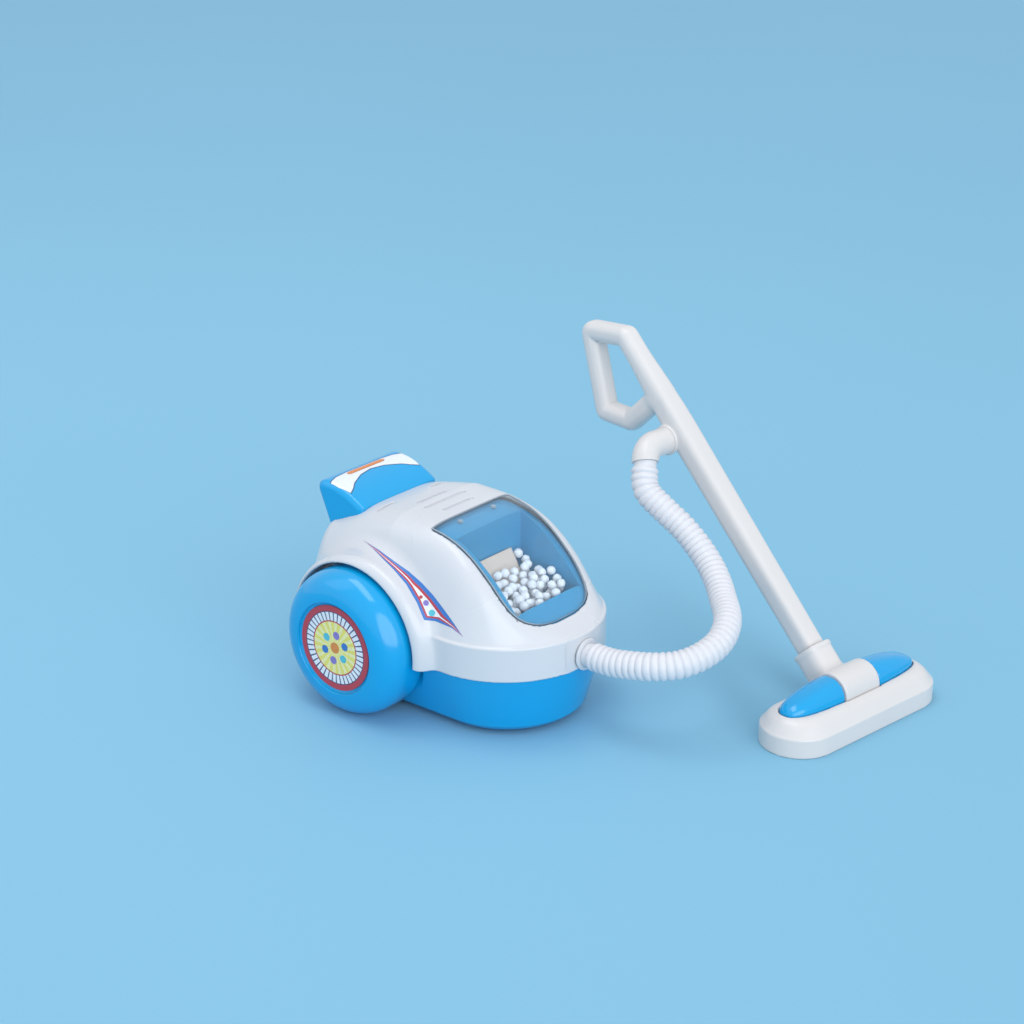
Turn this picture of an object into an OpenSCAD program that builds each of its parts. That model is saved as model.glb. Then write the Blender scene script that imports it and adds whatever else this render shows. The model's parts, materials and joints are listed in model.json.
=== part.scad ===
// Toy canister vacuum cleaner: a wheeled body, a ribbed hose, a wand with a hand loop and a floor head.
// Millimetres. +X is forward, +Y is left, +Z is up, and the floor is Z = 0.
// Shapes are drawn from the point on the floor under the wheel axle, then shifted by placed().

/* [Rear wheels] */
// Radius of a rear wheel
wheel_r = 34; // [28:0.1:41]
// Width of a rear wheel, from its inner face to its crest
wheel_w = 22.8; // [20:0.2:27]
// Radius of the wheel's rounded outer shoulder
shoulder_r = 12.3; // [8:0.1:13]
// Diameter of the printed hub disc
hub_d = 40; // [30:0.5:42]
// Depth of the hub disc's face below the wheel's crest
hub_depth = 1.3; // [0.8:0.1:3]
// Thickness of the hub disc
hub_t = 0.4; // [0.2:0.1:0.6]
// Diameter of the steel axle
axle_d = 4; // [3:0.1:5]
// Gap between the wheel's tread and its arch
arch_gap = 1.8; // [1:0.1:3]
// Gap between the wheel's inner face and the wheel well
well_gap = 1; // [0.5:0.1:2]

/* [Casing] */
// Half width of the white band
band_half = 44.5; // [42:0.5:54]
// Nose of the white band, forward of the axle
nose_x = 92; // [80:0.5:112]
// Tail of the white band, behind the axle
tail_x = 44; // [42:0.5:53]
// Height of the seam between the two casings
seam_z = 30; // [26:0.5:33]
// Height of the white band
band_h = 16; // [12:0.5:20]
// Step from the band in to the dome
band_step = 1; // [0.5:0.1:2]
// Height of the dome's top
dome_z = 89.2; // [84:0.1:107.2]
// Share of the dome's width that stays flat on top
dome_flat = 0.76; // [0.72:0.01:0.82]
// Height of the underside of the lower casing
belly_z = 2.5; // [1.5:0.1:4]
// Half width of the lower casing at its underside
belly_half = 36; // [34:0.5:40]
// Wall thickness of both casings
wall = 2; // [1.6:0.1:2.6]
// Half distance between the outer faces of the two wheel wells
well_y = 39; // [38.5:0.1:42]
// Thickness of the fender over the wheel's arch
fender_t = 3.7; // [3:0.1:6]
// Distance from the centre plane to the fender's outer face
fender_y = 51; // [49:0.5:56]

/* [Window and dust tray] */
// Back edge of the window, forward of the axle
window_back = 27; // [24:0.5:30]
// Distance from the window's front edge to the nose
window_front_gap = 11; // [9:0.5:16]
// Half width of the window
window_half = 26.6; // [22:0.1:27]
// Thickness of the window
window_t = 1.3; // [1:0.1:1.6]
// Height of the dust pit's floor
pit_z = 45; // [43:0.5:50]
// Distance from the window's side edge in to the dust pit
pit_side = 4.6; // [4:0.1:8]
// Diameter of a foam bead
bead_d = 5; // [3:0.1:6]

/* [Rear hood] */
// Half width of the rear hood
hood_half = 26; // [22:0.5:26.5]
// Rise of the rear hood's top above the dome
hood_rise = 4; // [2.8:0.1:6]

/* [Drive] */
// Diameter of the motor can
motor_d = 20; // [18:0.5:21]
// Length of the motor can
motor_l = 25; // [22:0.5:26]
// Diameter of the fan
fan_d = 23; // [18:0.5:24]
// Diameter of an AA cell
cell_d = 14.5; // [13.5:0.1:14.7]
// Length of an AA cell
cell_l = 50.5; // [48:0.1:51]
// Radius of the front roller
roller_r = 6; // [5:0.1:7]
// Width of the front roller
roller_w = 12; // [8:0.5:14]
// Travel of the switch's slider
switch_travel = 4; // [2:0.5:5]

/* [Hose] */
// Outer diameter of the hose at a rib
hose_d = 12.6; // [11:0.01:15.2]
// Depth of a rib
rib_depth = 0.9; // [0.5:0.1:1.2]
// Number of ribs along the hose
ribs = 44; // [20:1:60]
// Diameter of the hose's bore
hose_bore = 8.4; // [6:0.1:9]
// Height of the hose inlet's centre
inlet_z = 36.3; // [35:0.1:38]

/* [Wand] */
// Distance from the head's pivot to the top corner of the wand
wand_l = 190.5; // [180:0.5:228]
// Width of the wand at its top
wand_w_top = 12.6; // [11:0.1:14]
// Width of the wand at its bottom
wand_w_low = 11; // [10.2:0.1:12]
// Angle of the wand above the floor
wand_tilt = 45; // [42:0.5:50]
// Distance of the wand's axis behind the pivot
wand_drop = 7.6; // [6:0.1:8]
// Thickness of the hand loop's bars, in the plane of the loop
loop_bar = 9.6; // [8:0.1:10.5]
// Width of the hand loop's bars, across the plane of the loop
loop_w = 10.8; // [9:0.1:12]
// Diameter of the neck's collar
collar_d = 15.6; // [14.5:0.1:16.5]

/* [Floor head] */
// Length of the floor head
head_l = 101; // [85:1:120]
// Width of the floor head
head_w = 35; // [34:0.5:41]
// Height of the floor head's vertical skirt
skirt_z = 9; // [8.6:0.1:10]
// Height of the floor head's flat top
head_z = 15.6; // [15:0.1:16.2]
// Height of the coloured inserts
insert_z = 24.3; // [22:0.1:24.6]
// Half width of the neck's barrel
barrel_half = 11.4; // [9:0.1:13]
// Radius of the neck's barrel
barrel_r = 9.5; // [9:0.1:10]
// Height of the neck's pivot
pivot_z = 15.5; // [15:0.1:16]
// Distance of the pivot behind the head's middle
pivot_x = 0.8; // [0:0.1:2]

/* [Fits] */
// Radial clearance of a part that turns on a pin or shaft
run_gap = 0.05; // [0.03:0.01:0.08]
// Gap between fixed parts that drop into a recess
seat_gap = 0.2; // [0.1:0.05:0.3]
// Gap under the dome's inside
tray_gap = 0.7; // [0.6:0.05:0.9]

/* [Hidden] */
$fn = 48;

white = [0.93, 0.94, 0.97];
blue = [0.1, 0.58, 0.93];
steel = [0.72, 0.73, 0.75];
brass = [0.85, 0.68, 0.3];
cream = [0.93, 0.9, 0.84];
dark = [0.2, 0.22, 0.25];

// Wheels, from the inner face outwards
axle_z = wheel_r;
axle_r = axle_d / 2;
wheel_in = well_y + well_gap;
crest_y = wheel_in + wheel_w;
hub_face = crest_y - hub_depth;
recess_r = wheel_r - shoulder_r - 0.2;
wheel_skin = 3.5;
wheel_hub_r = 6.5;
wheel_chamfer = 1.5;
axle_end = 2;
arch_r = wheel_r + arch_gap;
fender_r = arch_r + fender_t;
fender_dx = 2.5;
fender_round = 4;

// Plan and height of the casings
band_top = seam_z + band_h;
nose_curve = 43;
tail_curve = 36;
front_c = nose_x - nose_curve;
rear_c = tail_curve - tail_x;
plan_power = 4;
shoulder_power = 7;
crest_x = 8;
belly_nose = 8;
belly_tail = 6;
belly_round = 2;
// Dome height over its length, from the crest to the nose and from the crest to the tail
front_shape = [[0, 1], [0.23, 0.98], [0.385, 0.91], [0.505, 0.785], [0.65, 0.545], [0.795, 0.245],
    [0.89, 0.105], [1, 0]];
back_shape = [[0, 1], [0.45, 0.905], [0.7, 0.8], [0.86, 0.7], [0.96, 0.4], [1, 0]];
// Vent slots: place along the top, place across it and length
vents = [[4.7, 0, 20], [12, 0, 27], [19.7, 0, 20], [-7.3, 18, 11], [-7.3, -18, 11]];
vent_w = 2;
vent_depth = 1;

// Window and tray
window_tip = nose_x - window_front_gap;
window_curve = 19.5;
window_power = 2.8;
tray_lip = 1.6;
tray_t = 2;
pit_back = window_back + 10.5;
pit_front = window_tip - 9.5;
pit_wall = 1.5;
pit_half = window_half - pit_side;
air_hole_r = 1.5;
bead_gap = 0.25;
bead_row = 0.87;
bead_back = 10;
flap_w = 22;
flap_l = 18.5;
flap_t = 1.2;
flap_y = 2.5;
flap_up = 22.5;
flap_tilt = 60;
peg_x = window_back + 3.5;
peg_y = 11.4;
peg_r = 1.2;

// Battery bay, switch, roller and motor
bay_l = cell_l + 2.6;
bay_w = 2 * cell_d + 1;
bay_h = cell_d + 0.6;
bay_wall = 1.5;
floor_z = belly_z + wall;
contact_t = 0.5;
tab_l = 7;
tab_half = 6;
cell_gap = 0.15;
cell_x = cell_d / 2 + cell_gap;
cell_lift = 0.2;
cell_tip_r = 2.7;
cell_tip_l = 1;
contact_half = 5;
contact_low = 2;
contact_h = 10;
contact_gap = 0.1;
grooves = 5;
groove_w = 1.4;
groove_pitch = 3;
groove_half = 14;
groove_depth = 0.5;
switch_x = 44;
switch_l = 12 + switch_travel;
switch_w = 9;
switch_h = 6;
switch_gap = 0.3;
slider_gap = 0.2;
knob_out = 1.2;
knob_l = 4;
knob_w = 3;
slider_l = 7;
slider_w = 5;
slider_h = 3;
roller_x = nose_x - 26;
roller_pin_r = 1.5;
lug_t = 2.5;
lug_gap = 0.5;
lug_half = 4;
lug_up = 4;
roller_slot = 1.2;
roller_chamfer = 0.8;
press_gap = 0.02;
motor_r = motor_d / 2;
motor_flat = 0.78 * motor_d;
motor_boss_r = 3;
motor_boss_l = 2;
motor_z = 54;
motor_x = 0;
shaft_r = 1;
shaft_in = 17;
shaft_l = 26;
fan_hub_r = 3.5;
fan_hub_l = 6;
blades = 6;
blade_w = 4.4;
blade_t = 1;
blade_twist = 32;
fan_x = motor_x + motor_l + 1.6;
bracket_x = motor_x + 10;
bracket_l = 11;
bracket_t = 2;
bracket_foot = 6;
bracket_seat = 4;
bracket_gap = 1;
bay_x = bracket_x - bracket_gap - bay_wall - tab_l - bay_w / 2;
door_screw_x = bay_x + bay_w / 2 + tab_l - 3;
post_r = 3.6;
screw_r = 1.25;
screw_head_r = 2.4;
screw_head_t = 1;
screw_slot_l = 3;
screw_slot_w = 0.7;
screw_hold = 10;
stud_r = 2.4;
posts = [[crest_x + 5, belly_half - post_r - 1], [front_c + 5, belly_half - post_r - 1.6]];
bearing_t = 4;
bearing_half = 5;
bearing_cap = 3;
bearing_y = well_y - wall - 0.5 - bearing_t;
tray_post = [pit_front - 10, pit_half - 6.5];

// Floor head and wand, in the head's own frame: X backwards, Y to the right, Z up
head_at = [176.8, 82.2];
head_turn = 82;
head_end_r = head_w / 2;
head_wall = 2;
head_cavity_z = 9.2;
sole_t = 1.5;
sole_top = sole_t + seat_gap;
sole_slot_x = 9;
sole_slot_w = 4;
sole_slot_end = 26;
sole_slot_depth = 0.6;
head_screw_y = head_l / 2 - head_end_r;
// Skirt, shoulder and top of the head: inset from the outline and height
head_steps = [[0, 0], [0, skirt_z - 0.8], [0.5, skirt_z + 0.3], [3.2, head_z - 3], [5.9, head_z - 0.9],
    [8.3, head_z]];
lens_half = head_l / 2 - 8.2;
lens_w = 9;
lens_floor = head_z - 2.2;
lens_base = head_z - 0.2;
slot_gap = 0.3;
pin_r = 1.5;
pin_half = barrel_half + 5.5;
pin_block = 3.4;
pin_block_end = 1.5;
pin_block_up = 3;
collar_l = 22.8;
collar_from = 6;
collar_rim = 0.5;
collar_rim_l = 3;
collar_slot = 1;
collar_slot_z = 3.2;
plug_r = 4.6;
loop_fillet = 1.5;
wand_square = 0.55;
plug_l = 12;
boss_at = wand_l - 51.2;
boss_drop = 6.2;
boss_face = 7;
boss_rim = 0.8;
boss_rim_l = 1.6;
elbow_straight = 6.5;
elbow_r = 10;
elbow_bend = 69;
elbow_lean = 27;
spigot_l = 4;
hose_r = hose_d / 2;
bore_r = hose_bore / 2;
// Middle line of the hand loop: distance along the wand and distance below its axis
loop_line = [[wand_l + 1, 0], [wand_l + 15.5, 17.3], [wand_l - 18.5, 36.3], [wand_l - 31, 24.5],
    [wand_l - 31.5, 0]];

// Hose inlet and the hose's own route, in round numbers
inlet_flange_t = 1.5;
inlet_flange_r = hose_r + 1;
inlet_tube_r = bore_r + 1.2;
inlet_l = 13;
hose_gap = 0.05;
hose_start = [nose_x + inlet_flange_t + hose_gap, 0, inlet_z];
hose_route = [[116, 1, 37.5], [126.5, 3.5, 39], [135.5, 9.5, 40.5], [141, 18.5, 43], [142.5, 29, 46],
    [139.5, 39, 49], [133.5, 48, 50.5], [126, 56, 52], [118.5, 63, 55.5], [110, 68.5, 60.5], [101, 71, 67],
    [92, 71, 74], [83, 69.5, 80.5]];

// Extents of the whole toy without its hose, which set the origin under its middle
head_half_x = (head_l / 2 - head_end_r) * cos(head_turn) + head_end_r;
head_half_y = (head_l / 2 - head_end_r) * sin(head_turn) + head_end_r;
origin_x = (head_at.x + head_half_x - tail_x) / 2;
origin_y = (head_at.y + head_half_y - crest_y) / 2;

function clamp01(v) = min(1, max(0, v));
function signed_power(v, p) = sign(v) * pow(abs(v), p);
function unit(v) = v / norm(v);
function arc(c, r, from, to, n) =
    [for (i = [0:n]) let (a = from + (to - from) * i / n) c + r * [cos(a), sin(a)]];
function bezier(a, b, c, n) =
    [for (i = [0:n]) let (t = i / n) (1 - t) * (1 - t) * a + 2 * t * (1 - t) * b + t * t * c];

// Smooth curve through [position, value] points: slope at point i, and value at position t
function slope(s, i) =
    let (a = max(0, i - 1), b = min(len(s) - 1, i + 1))
    (s[b][1] - s[a][1]) / (s[b][0] - s[a][0]);
function segment(s, t, i = 0) = i >= len(s) - 2 || t <= s[i + 1][0] ? i : segment(s, t, i + 1);
function smooth(s, t) =
    let (i = segment(s, t), d = s[i + 1][0] - s[i][0], k = (t - s[i][0]) / d)
    (1 + 2 * k) * (1 - k) * (1 - k) * s[i][1] + k * (1 - k) * (1 - k) * d * slope(s, i)
    + k * k * (3 - 2 * k) * s[i + 1][1] - k * k * (1 - k) * d * slope(s, i + 1);

// Dome of the upper casing, drawn smaller by the inset
function dome_nose(inset) = nose_x - band_step - inset;
function dome_tail(inset) = band_step + inset - tail_x;
function dome_half(x, inset) =
    let (u = clamp01((x - front_c) / (dome_nose(inset) - front_c)),
         v = clamp01((rear_c - x) / (rear_c - dome_tail(inset))))
    (band_half - band_step - inset) * sqrt(1 - u * u) * pow(1 - pow(v, plan_power), 1 / plan_power);
function dome_ridge(x, inset) =
    let (f = clamp01((x - crest_x) / (dome_nose(inset) - crest_x)),
         b = clamp01((crest_x - x) / (crest_x - dome_tail(inset))))
    band_top + (dome_z - inset - band_top)
        * max(0, x >= crest_x ? smooth(front_shape, f) : smooth(back_shape, b));
function dome_rise(c) = pow(max(0, 1 - pow(abs(c), shoulder_power)), 1 / shoulder_power);
function dome_share(y, w, low = 0, high = 1, n = 16) =
    let (c = (low + high) / 2)
    n == 0 ? c
    : c * w * (1 - (1 - dome_flat) * dome_rise(c)) < abs(y) ? dome_share(y, w, c, high, n - 1)
    : dome_share(y, w, low, c, n - 1);
function dome_at(x, y, inset) =
    band_top + (dome_ridge(x, inset) - band_top) * dome_rise(dome_share(y, dome_half(x, inset)));
function dome_ring(x, inset, base) =
    let (w = dome_half(x, inset), h = dome_ridge(x, inset) - band_top)
    concat([for (a = [0:15:180])
            let (c = signed_power(cos(a), 2 / shoulder_power), s = pow(sin(a), 2 / shoulder_power))
            [x, c * w * (1 - (1 - dome_flat) * s), band_top + h * s]],
        [[x, -w, base], [x, w, base]]);
function dome_stations(inset) = concat(
    [for (i = [0:7]) rear_c - (rear_c - dome_tail(inset)) * sin(86 * (1 - i / 7))],
    [for (i = [1:6]) rear_c + (front_c - rear_c) * i / 7],
    [for (i = [0:10]) front_c + (dome_nose(inset) - front_c) * sin(86 * i / 10)]);

// Plan outline of a casing: rounded tail, straight sides and a half-ellipse nose
function plan(half, nose, tail) = concat(
    [for (a = [-90:9:90]) [front_c + (nose - front_c) * cos(a), half * sin(a)]],
    [for (a = [99:9:261])
        [rear_c - (rear_c - tail) * pow(abs(cos(a)), 2 / plan_power),
         half * signed_power(sin(a), 2 / plan_power)]]);
function at_height(outline, z) = [for (p = outline) [p.x, p.y, z]];

// Half width of the window's outline at x, grown by a margin
function window_edge(x, margin) =
    let (u = clamp01((x - window_tip + window_curve) / (window_curve + margin)))
    (window_half + margin) * pow(1 - pow(u, window_power), 1 / window_power);
function window_xs(margin) = concat(
    [for (i = [0:7]) window_back - margin + (window_tip - window_curve - window_back + margin) * i / 7],
    [for (i = [1:6]) window_tip - window_curve + (window_curve + margin) * sin(84 * i / 6)]);
function window_plan(margin) = concat(
    [for (x = window_xs(margin)) [x, -window_edge(x, margin)]],
    [for (i = [len(window_xs(margin)) - 1:-1:0])
        let (x = window_xs(margin)[i]) [x, window_edge(x, margin)]]);

// Long round-ended outline of the floor head, drawn smaller by the inset
function head_plan(inset) =
    let (r = head_end_r - inset, e = head_l / 2 - head_end_r)
    concat(arc([0, e], r, 0, 180, 16), arc([0, -e], r, 180, 360, 16));
function lens_share(y) = sqrt(1 - pow(min(1, abs(y) / lens_half), 2));
function insert_ys(from) = [for (i = [0:8]) from + (lens_half * 0.985 - from) * sin(90 * i / 8)];

// Points from the head's frame in the canister's frame
function from_head(p) =
    [head_at.x + p.x * cos(head_turn + 90) - p.y * sin(head_turn + 90),
     head_at.y + p.x * sin(head_turn + 90) + p.y * cos(head_turn + 90), p.z];
function on_wand(w, drop) =
    [pivot_x + w * cos(wand_tilt) + (drop + wand_drop) * sin(wand_tilt), 0,
     pivot_z + w * sin(wand_tilt) - (drop + wand_drop) * cos(wand_tilt)];
boss_centre = on_wand(boss_at, boss_drop);
elbow_out = [sin(elbow_lean), 0, cos(elbow_lean)];
elbow_centre = boss_centre + [0, boss_face + elbow_straight, 0] - elbow_r * elbow_out;
elbow_end = elbow_centre + elbow_r * (cos(elbow_bend) * elbow_out + sin(elbow_bend) * [0, 1, 0]);
elbow_way = cos(elbow_bend) * [0, 1, 0] - sin(elbow_bend) * elbow_out;
hose_end = elbow_end + hose_gap * elbow_way;
hose_line = concat([hose_start, hose_start + [hose_d, 0, 0]], hose_route,
    [from_head(hose_end + hose_d * elbow_way), from_head(hose_end)]);

// Round tube along a smooth line through the points
function line_at(p, t) =
    let (n = len(p) - 1, i = min(n - 1, floor(t)), k = t - i,
         a = p[max(0, i - 1)], b = p[i], c = p[i + 1], d = p[min(n, i + 2)])
    b + 0.5 * k * (c - a + k * (2 * a - 5 * b + 4 * c - d + k * (3 * (b - c) + d - a)));
function line_samples(p, n) = [for (i = [0:n]) line_at(p, i * (len(p) - 1) / n)];
function run_lengths(q, i = 1, sum = [0]) =
    i >= len(q) ? sum : run_lengths(q, i + 1, concat(sum, [sum[i - 1] + norm(q[i] - q[i - 1])]));
function run_table(s, q, axis) = [for (i = [0:len(q) - 1]) [s[i], q[i][axis]]];
function run_point(tables, at) = [for (t = tables) lookup(at, t)];
function tube_way(tables, at, length, points) =
    at < 0.01 ? unit(points[1] - points[0])
    : at > length - 0.01 ? unit(points[len(points) - 1] - points[len(points) - 2])
    : unit(run_point(tables, min(length, at + 0.5)) - run_point(tables, max(0, at - 0.5)));
function tube_ring(tables, at, r, sides, length, points, aside) =
    let (t = tube_way(tables, at, length, points), side = unit(cross(t, aside)), up = cross(side, t),
         c = run_point(tables, at))
    [for (i = [0:sides - 1]) c + r * (cos(360 * i / sides) * side - sin(360 * i / sides) * up)];

module loft(rings) {
    n = len(rings);
    m = len(rings[0]);
    sides = [for (i = [0:n - 2], j = [0:m - 1]) let (a = i * m + j, b = i * m + (j + 1) % m)
        each [[a, a + m, b + m], [a, b + m, b]]];
    low = [for (j = [1:m - 2]) [0, j, j + 1]];
    high = [for (j = [1:m - 2]) [(n - 1) * m, (n - 1) * m + j + 1, (n - 1) * m + j]];
    polyhedron([for (r = rings) each r], concat(sides, low, high));
}

// Curved sheet: the top follows the dome, the bottom lies lower by the thickness
module dome_sheet(margin, inset, thickness) {
    xs = window_xs(margin);
    k = 8;
    ring = [for (x = xs) let (h = window_edge(x, margin))
        concat([for (j = [0:k]) let (y = h * (1 - 2 * j / k)) [x, y, dome_at(x, y, inset)]],
            [for (j = [k:-1:0])
                let (y = h * (1 - 2 * j / k)) [x, y, dome_at(x, y, inset) - thickness]])];
    m = 2 * k + 2;
    last = (len(xs) - 1) * m;
    sides = [for (i = [0:len(xs) - 2], j = [0:m - 1]) let (a = i * m + j, b = i * m + (j + 1) % m)
        each [[a, a + m, b + m], [a, b + m, b]]];
    caps = [for (j = [0:k - 1]) each [
        [j, j + 1, m - 2 - j], [j, m - 2 - j, m - 1 - j],
        [last + j, last + m - 2 - j, last + j + 1], [last + j, last + m - 1 - j, last + m - 2 - j]]];
    polyhedron([for (r = ring) each r], concat(sides, caps));
}

// Hollow tube: outer rings with their own radii, inner rings of one bore
module hollow_tube(points, outer, bore, sides, inner_steps, aside = [0.3, -0.5, 0.8]) {
    q = line_samples(points, 240);
    s = run_lengths(q);
    length = s[len(s) - 1];
    tables = [for (axis = [0:2]) run_table(s, q, axis)];
    n = len(outer);
    skin = [for (o = outer) tube_ring(tables, o[0] * length, o[1], sides, length, points, aside)];
    core = [for (i = [0:inner_steps])
        tube_ring(tables, length * i / inner_steps, bore, sides, length, points, aside)];
    base = n * sides;
    last = (n - 1) * sides;
    end = base + inner_steps * sides;
    walls = [for (i = [0:n - 2], j = [0:sides - 1]) let (a = i * sides + j, b = i * sides + (j + 1) % sides)
        each [[a, a + sides, b + sides], [a, b + sides, b]]];
    bores = [for (i = [0:inner_steps - 1], j = [0:sides - 1])
        let (a = base + i * sides + j, b = base + i * sides + (j + 1) % sides)
        each [[a, b + sides, a + sides], [a, b, b + sides]]];
    mouths = [for (j = [0:sides - 1]) let (k = (j + 1) % sides)
        each [[j, k, base + k], [j, base + k, base + j],
            [last + j, end + k, last + k], [last + j, end + j, end + k]]];
    polyhedron(concat([for (r = skin) each r], [for (r = core) each r]), concat(walls, bores, mouths));
}

module wire(points, r) {
    q = line_samples(points, 60);
    s = run_lengths(q);
    length = s[len(s) - 1];
    tables = [for (axis = [0:2]) run_table(s, q, axis)];
    loft([for (i = [0:10]) tube_ring(tables, length * i / 10, r, 8, length, points, [0.2, 1, 0.1])]);
}

module placed() { translate([-origin_x, -origin_y, 0]) children(); }
module both_sides() { for (side = [1, -1]) scale_y(side) children(); }
module scale_y(side) { mirror([0, side < 0 ? 1 : 0, 0]) children(); }
module along_y(from, to) { translate([0, from, 0]) rotate([-90, 0, 0]) linear_extrude(to - from) children(); }
module turned_about_y() { rotate([-90, 0, 0]) rotate_extrude() children(); }
module along_x(from, to) { translate([from, 0, 0]) rotate([90, 0, 90]) linear_extrude(to - from) children(); }
module in_head() { translate([head_at.x, head_at.y, 0]) rotate([0, 0, head_turn + 90]) children(); }
module in_wand() { in_head() translate([pivot_x, 0, pivot_z]) rotate([0, -wand_tilt, 0]) children(); }
module box(from, to) { translate(from) cube(to - from); }
module drill(x, y, from, to, r) { translate([x, y, from]) cylinder(h = to - from, r = r); }

// Space a wheel takes out of the casings on both sides
module wheel_wells(r, from) {
    both_sides() translate([0, 0, axle_z]) along_y(from, fender_y + 20) circle(r);
}

module tub(inset, lift, top) {
    low = belly_z + lift;
    edge = belly_round + inset;
    rim = band_step + inset;
    loft([at_height(plan(belly_half - edge, nose_x - belly_nose - edge, belly_tail + edge - tail_x), low),
        at_height(plan(belly_half - inset, nose_x - belly_nose - inset, belly_tail + inset - tail_x),
            low + belly_round),
        at_height(plan(band_half - rim, nose_x - rim, rim - tail_x), top)]);
}

module bay_plan(margin) {
    translate([bay_x - bay_w / 2 - margin, -bay_l / 2 - margin])
        square([bay_w + 2 * margin, bay_l + 2 * margin]);
}

module door_plan(margin) {
    bay_plan(margin);
    translate([bay_x, -tab_half - margin])
        square([bay_w / 2 + tab_l + margin, 2 * tab_half + 2 * margin]);
}

module lower_casing() color(blue) {
    difference() {
        union() {
            difference() {
                tub(0, 0, seam_z);
                wheel_wells(arch_r, well_y);
                difference() {
                    tub(wall, wall, seam_z + 0.5);
                    wheel_wells(arch_r + wall, well_y - wall);
                }
            }
            translate([0, 0, belly_z]) linear_extrude(wall + bay_h + bay_wall) bay_plan(bay_wall);
            box([bay_x + bay_w / 2, -tab_half - bay_wall, belly_z],
                [bay_x + bay_w / 2 + tab_l + bay_wall, tab_half + bay_wall, floor_z + bay_h]);
            both_sides() box([-bearing_half, bearing_y, belly_z + wall / 2],
                [bearing_half, bearing_y + bearing_t, axle_z + axle_r + bearing_cap]);
            for (p = posts) both_sides() drill(p.x, p.y, belly_z + wall / 2, seam_z, post_r);
            both_sides() drill(tray_post.x, tray_post.y, belly_z + wall / 2, pit_z - pit_wall, post_r);
            both_sides() box([roller_x - lug_half, roller_w / 2 + lug_gap, belly_z + wall / 2],
                [roller_x + lug_half, roller_w / 2 + lug_gap + lug_t, roller_r + lug_up]);
        }
        translate([0, 0, floor_z]) linear_extrude(bay_h) bay_plan(0);
        translate([0, 0, belly_z - 1]) linear_extrude(wall + 1) door_plan(0);
        drill(door_screw_x, 0, belly_z, floor_z + bay_h - 2, screw_r + run_gap);
        translate([0, 0, axle_z]) along_y(-well_y, well_y) circle(axle_r + run_gap);
        for (p = posts) both_sides() {
            drill(p.x, p.y, belly_z - 1, seam_z + 1, screw_r + run_gap);
            drill(p.x, p.y, belly_z - 1, floor_z, screw_head_r + seat_gap);
        }
        box([roller_x - roller_r - roller_slot, -roller_w / 2 - lug_gap, belly_z - 1],
            [roller_x + roller_r + roller_slot, roller_w / 2 + lug_gap, floor_z + 1]);
        translate([roller_x, 0, roller_r]) along_y(-roller_w, roller_w) circle(roller_pin_r + press_gap);
        box([switch_x - (knob_l + switch_travel) / 2 - switch_gap, -knob_w / 2 - switch_gap, belly_z - 1],
            [switch_x + (knob_l + switch_travel) / 2 + switch_gap, knob_w / 2 + switch_gap, floor_z + 1]);
    }
}

module fender() {
    corner = fender_r - fender_round;
    turned_about_y() polygon(concat([[0, well_y - wall - 2], [fender_r, well_y - wall - 2]],
        arc([corner, fender_y - fender_round], fender_round, 0, 90, 5), [[0, fender_y]]));
}

module vent(x, y, length) {
    r = vent_w / 2;
    z = dome_ridge(x, 0) - vent_depth;
    top = z + 5 * vent_depth;
    box([x - r, y - length / 2 + r, z], [x + r, y + length / 2 - r, top]);
    for (e = [-1, 1]) drill(x, y + e * (length / 2 - r), z, top, r);
}

module upper_casing() color(white) difference() {
    union() {
        translate([0, 0, seam_z]) linear_extrude(band_h) polygon(plan(band_half, nose_x, -tail_x));
        loft([for (x = dome_stations(0)) dome_ring(x, 0, band_top - 4)]);
        intersection() {
            both_sides() translate([fender_dx, 0, axle_z]) fender();
            translate([0, 0, seam_z + 100]) cube(200, center = true);
        }
    }
    difference() {
        loft([for (x = dome_stations(wall)) dome_ring(x, wall, seam_z - 1)]);
        wheel_wells(arch_r + wall, well_y - wall);
        for (p = posts) both_sides() drill(p.x, p.y, seam_z, dome_z, stud_r);
    }
    wheel_wells(arch_r, well_y);
    both_sides() box([-axle_r - 1, well_y - wall - 1, seam_z - 1],
        [axle_r + 1, well_y + 1, axle_z + axle_r + 1]);
    for (p = posts) both_sides() drill(p.x, p.y, seam_z - 1, seam_z + screw_hold, screw_r + run_gap);
    translate([0, 0, band_top + 1]) linear_extrude(dome_z) polygon(window_plan(seat_gap));
    rotate([90, 0, 0]) linear_extrude(2 * (hood_half + seat_gap), center = true)
        offset(delta = seat_gap) hood_side();
    for (v = vents) vent(v[0], v[1], v[2]);
    translate([0, 0, inlet_z]) along_x(nose_x - inlet_l, nose_x + 1) circle(inlet_tube_r + seat_gap);
}

// Side view of the hood, forward of and above the axle
hood_z = dome_z + hood_rise;
hood_sink = 23.2;
hood_step = 6;
hood_foot = [-33.5, dome_z - hood_sink];
hood_heel = [-42.2, hood_z - 6.2];
hood_crown = [-38.5, hood_z - 0.1];
hood_brow = [-27, hood_z];
hood_front = -15;
hood_toe = [hood_front, dome_ridge(hood_front, 0) + seat_gap];
module hood_side() {
    polygon(concat([hood_foot], bezier(hood_heel, [-44.2, hood_z - 0.5], hood_crown, 5),
        bezier(hood_crown, hood_brow, hood_toe, 8), [[hood_toe.x, hood_foot.y + hood_step]]));
}

module rear_hood() color(blue) difference() {
    rotate([90, 0, 0]) linear_extrude(2 * hood_half, center = true) hood_side();
    rotate([90, 0, 0]) linear_extrude(2 * (hood_half - wall), center = true)
        polygon([hood_foot + [2.5, -5], hood_heel + [3.5, 0], hood_crown + [2, -3], hood_brow + [1, -4.5],
            hood_toe + [-3, -3], [hood_toe.x - 3, hood_foot.y]]);
}

module window() color([0.6, 0.8, 0.95, 0.4]) dome_sheet(0, 0, window_t);

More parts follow.
